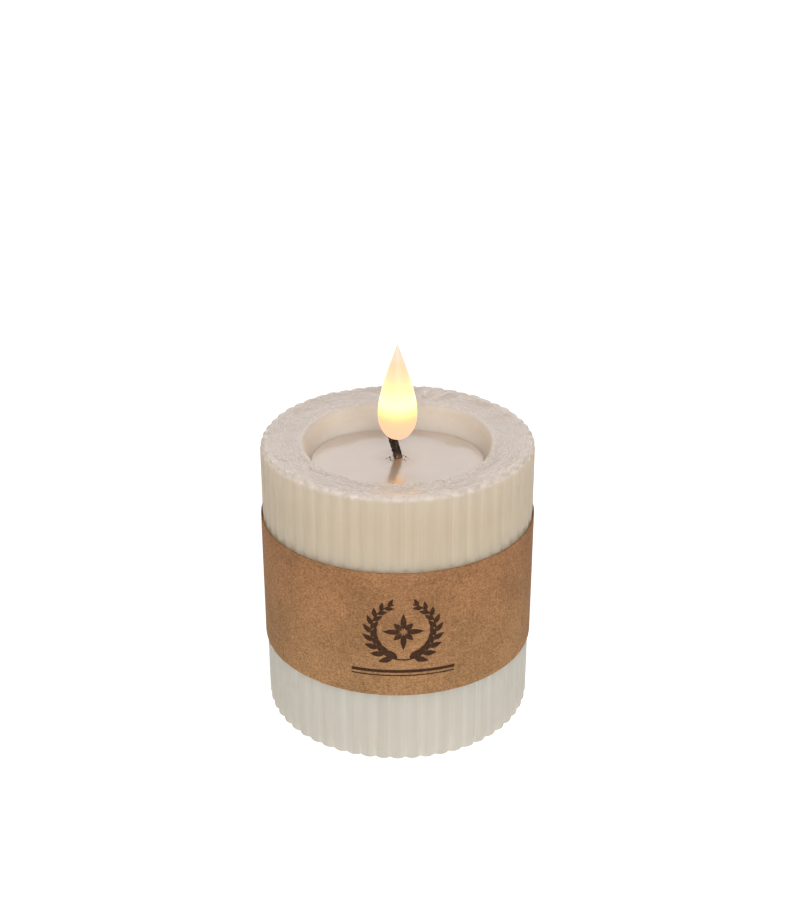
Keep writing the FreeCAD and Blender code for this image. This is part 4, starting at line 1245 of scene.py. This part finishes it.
def make_stage(context):
    """The floor, two soft panels, a silk overhead and the camera."""
    settings = context.scene.candle_stage
    scene = context.scene
    world = bpy.data.worlds.new("Soft White Room")
    scene.world = world
    world.use_nodes = True
    backdrop = world.node_tree.nodes["Background"]
    backdrop.inputs["Color"].default_value = (1, 1, 1, 1)
    backdrop.inputs["Strength"].default_value = settings.room_light
    side = 4.0
    corners = [(-side, -side, 0), (side, -side, 0), (side, side, 0), (-side, side, 0)]
    floor = new_piece("floor", mesh_from("floor", corners, [(0, 1, 2, 3)], False), floor_finish())
    aim = (0.0, 0.0, 0.05)
    add_soft_light("front_softbox", (0.16, -1.19, 0.75), aim, (1.1, 0.8), 11.8)
    add_soft_light("back_panel", (0.0, 1.5, 0.8), aim, (1.8, 1.0), 6.6)
    sky = bpy.data.lights.new("overhead_silk", "SUN")
    sky.energy, sky.angle = 0.9, math.radians(100)
    silk = bpy.data.objects.new("overhead_silk", sky)
    silk.rotation_euler = (math.radians(8), 0.0, 0.0)
    scene.collection.objects.link(silk)
    view = bpy.data.cameras.new("view")
    view.sensor_fit, view.sensor_height, view.lens = "VERTICAL", 36.0, settings.lens
    view.clip_start, view.clip_end = 0.01, 20.0
    camera = bpy.data.objects.new("view", view)
    camera.location = (0.0, -settings.camera_distance, settings.camera_height)
    target = Vector((settings.aim_side, 0.0, settings.aim_height))
    camera.rotation_euler = (target - camera.location).to_track_quat("-Z", "Y").to_euler()
    scene.collection.objects.link(camera)
    scene.camera = camera
    scene.view_settings.view_transform = "Standard"


# ---- operators -----------------------------------------------------------------------------------------
class CandleOperator:
    bl_options = {"REGISTER", "UNDO"}


class CANDLE_OT_stage(CandleOperator, bpy.types.Operator):
    """Make the pale floor, the soft lights and the camera"""

    bl_idname = "candle.stage"
    bl_label = "Stage"

    def execute(self, context):
        make_stage(context)
        return {"FINISHED"}


class CANDLE_OT_wax(CandleOperator, bpy.types.Operator):
    """Make the ribbed wax pillar with its melted rim and recess"""

    bl_idname = "candle.wax"
    bl_label = "Ribbed Wax"

    def execute(self, context):
        make_wax(context)
        return {"FINISHED"}


class CANDLE_OT_pool(CandleOperator, bpy.types.Operator):
    """Make the glossy pool round the wick"""

    bl_idname = "candle.pool"
    bl_label = "Melted Pool"

    def execute(self, context):
        make_pool()
        return {"FINISHED"}


class CANDLE_OT_wick(CandleOperator, bpy.types.Operator):
    """Make the twisted wick and the crumbs of char at its foot"""

    bl_idname = "candle.wick"
    bl_label = "Twisted Wick"

    def execute(self, context):
        make_wick(context)
        return {"FINISHED"}


class CANDLE_OT_flame(CandleOperator, bpy.types.Operator):
    """Make the lit teardrop flame"""

    bl_idname = "candle.flame"
    bl_label = "Lit Flame"

    def execute(self, context):
        make_flame(context)
        return {"FINISHED"}


class CANDLE_OT_sleeve(CandleOperator, bpy.types.Operator):
    """Make the kraft paper sleeve with its glued overlap"""

    bl_idname = "candle.sleeve"
    bl_label = "Kraft Sleeve"

    def execute(self, context):
        make_sleeve(context)
        return {"FINISHED"}


class CANDLE_OT_print(CandleOperator, bpy.types.Operator):
    """Print the leaf wreath on the sleeve"""

    bl_idname = "candle.print"
    bl_label = "Wreath Print"

    def execute(self, context):
        make_print(context)
        return {"FINISHED"}


class CANDLE_OT_base(CandleOperator, bpy.types.Operator):
    """Finish the base plate, door, switch, board and screws"""

    bl_idname = "candle.base"
    bl_label = "Base Finishes"

    def execute(self, context):
        make_base_finishes()
        return {"FINISHED"}


class CANDLE_OT_power(CandleOperator, bpy.types.Operator):
    """Finish the cells, contacts, wires and diode"""

    bl_idname = "candle.power"
    bl_label = "Power Finishes"

    def execute(self, context):
        make_power_finishes()
        return {"FINISHED"}


STEPS = ("stage", "wax", "pool", "wick", "flame", "sleeve", "print", "base", "power")


class CANDLE_PT_panel(bpy.types.Panel):
    """Lists the candle's pieces and their settings"""

    bl_idname = "CANDLE_PT_panel"
    bl_label = "Pillar Candle"
    bl_space_type = "VIEW_3D"
    bl_region_type = "UI"
    bl_category = "Candle"

    def draw(self, context):
        for step in STEPS:
            self.layout.operator(f"candle.{step}")
        for name in SETTINGS:
            box = self.layout.box()
            group = getattr(context.scene, name)
            for field in group.__annotations__:
                box.prop(group, field)


SETTINGS = {
    "candle_wax": CandleWaxSettings,
    "candle_flame": CandleFlameSettings,
    "candle_sleeve": CandleSleeveSettings,
    "candle_stage": CandleStageSettings,
}
OPERATORS = (
    CANDLE_OT_stage, CANDLE_OT_wax, CANDLE_OT_pool, CANDLE_OT_wick, CANDLE_OT_flame, CANDLE_OT_sleeve,
    CANDLE_OT_print, CANDLE_OT_base, CANDLE_OT_power,
)


def register():
    for group in SETTINGS.values():
        bpy.utils.register_class(group)
    for name, group in SETTINGS.items():
        setattr(bpy.types.Scene, name, bpy.props.PointerProperty(type=group))
    for operator in OPERATORS:
        bpy.utils.register_class(operator)
    bpy.utils.register_class(CANDLE_PT_panel)


def unregister():
    bpy.utils.unregister_class(CANDLE_PT_panel)
    for operator in reversed(OPERATORS):
        bpy.utils.unregister_class(operator)
    for name, group in reversed(SETTINGS.items()):
        delattr(bpy.types.Scene, name)
        bpy.utils.unregister_class(group)


def main():
    register()
    for step in STEPS:
        getattr(bpy.ops.candle, step)()


if __name__ == "__main__":
    main()
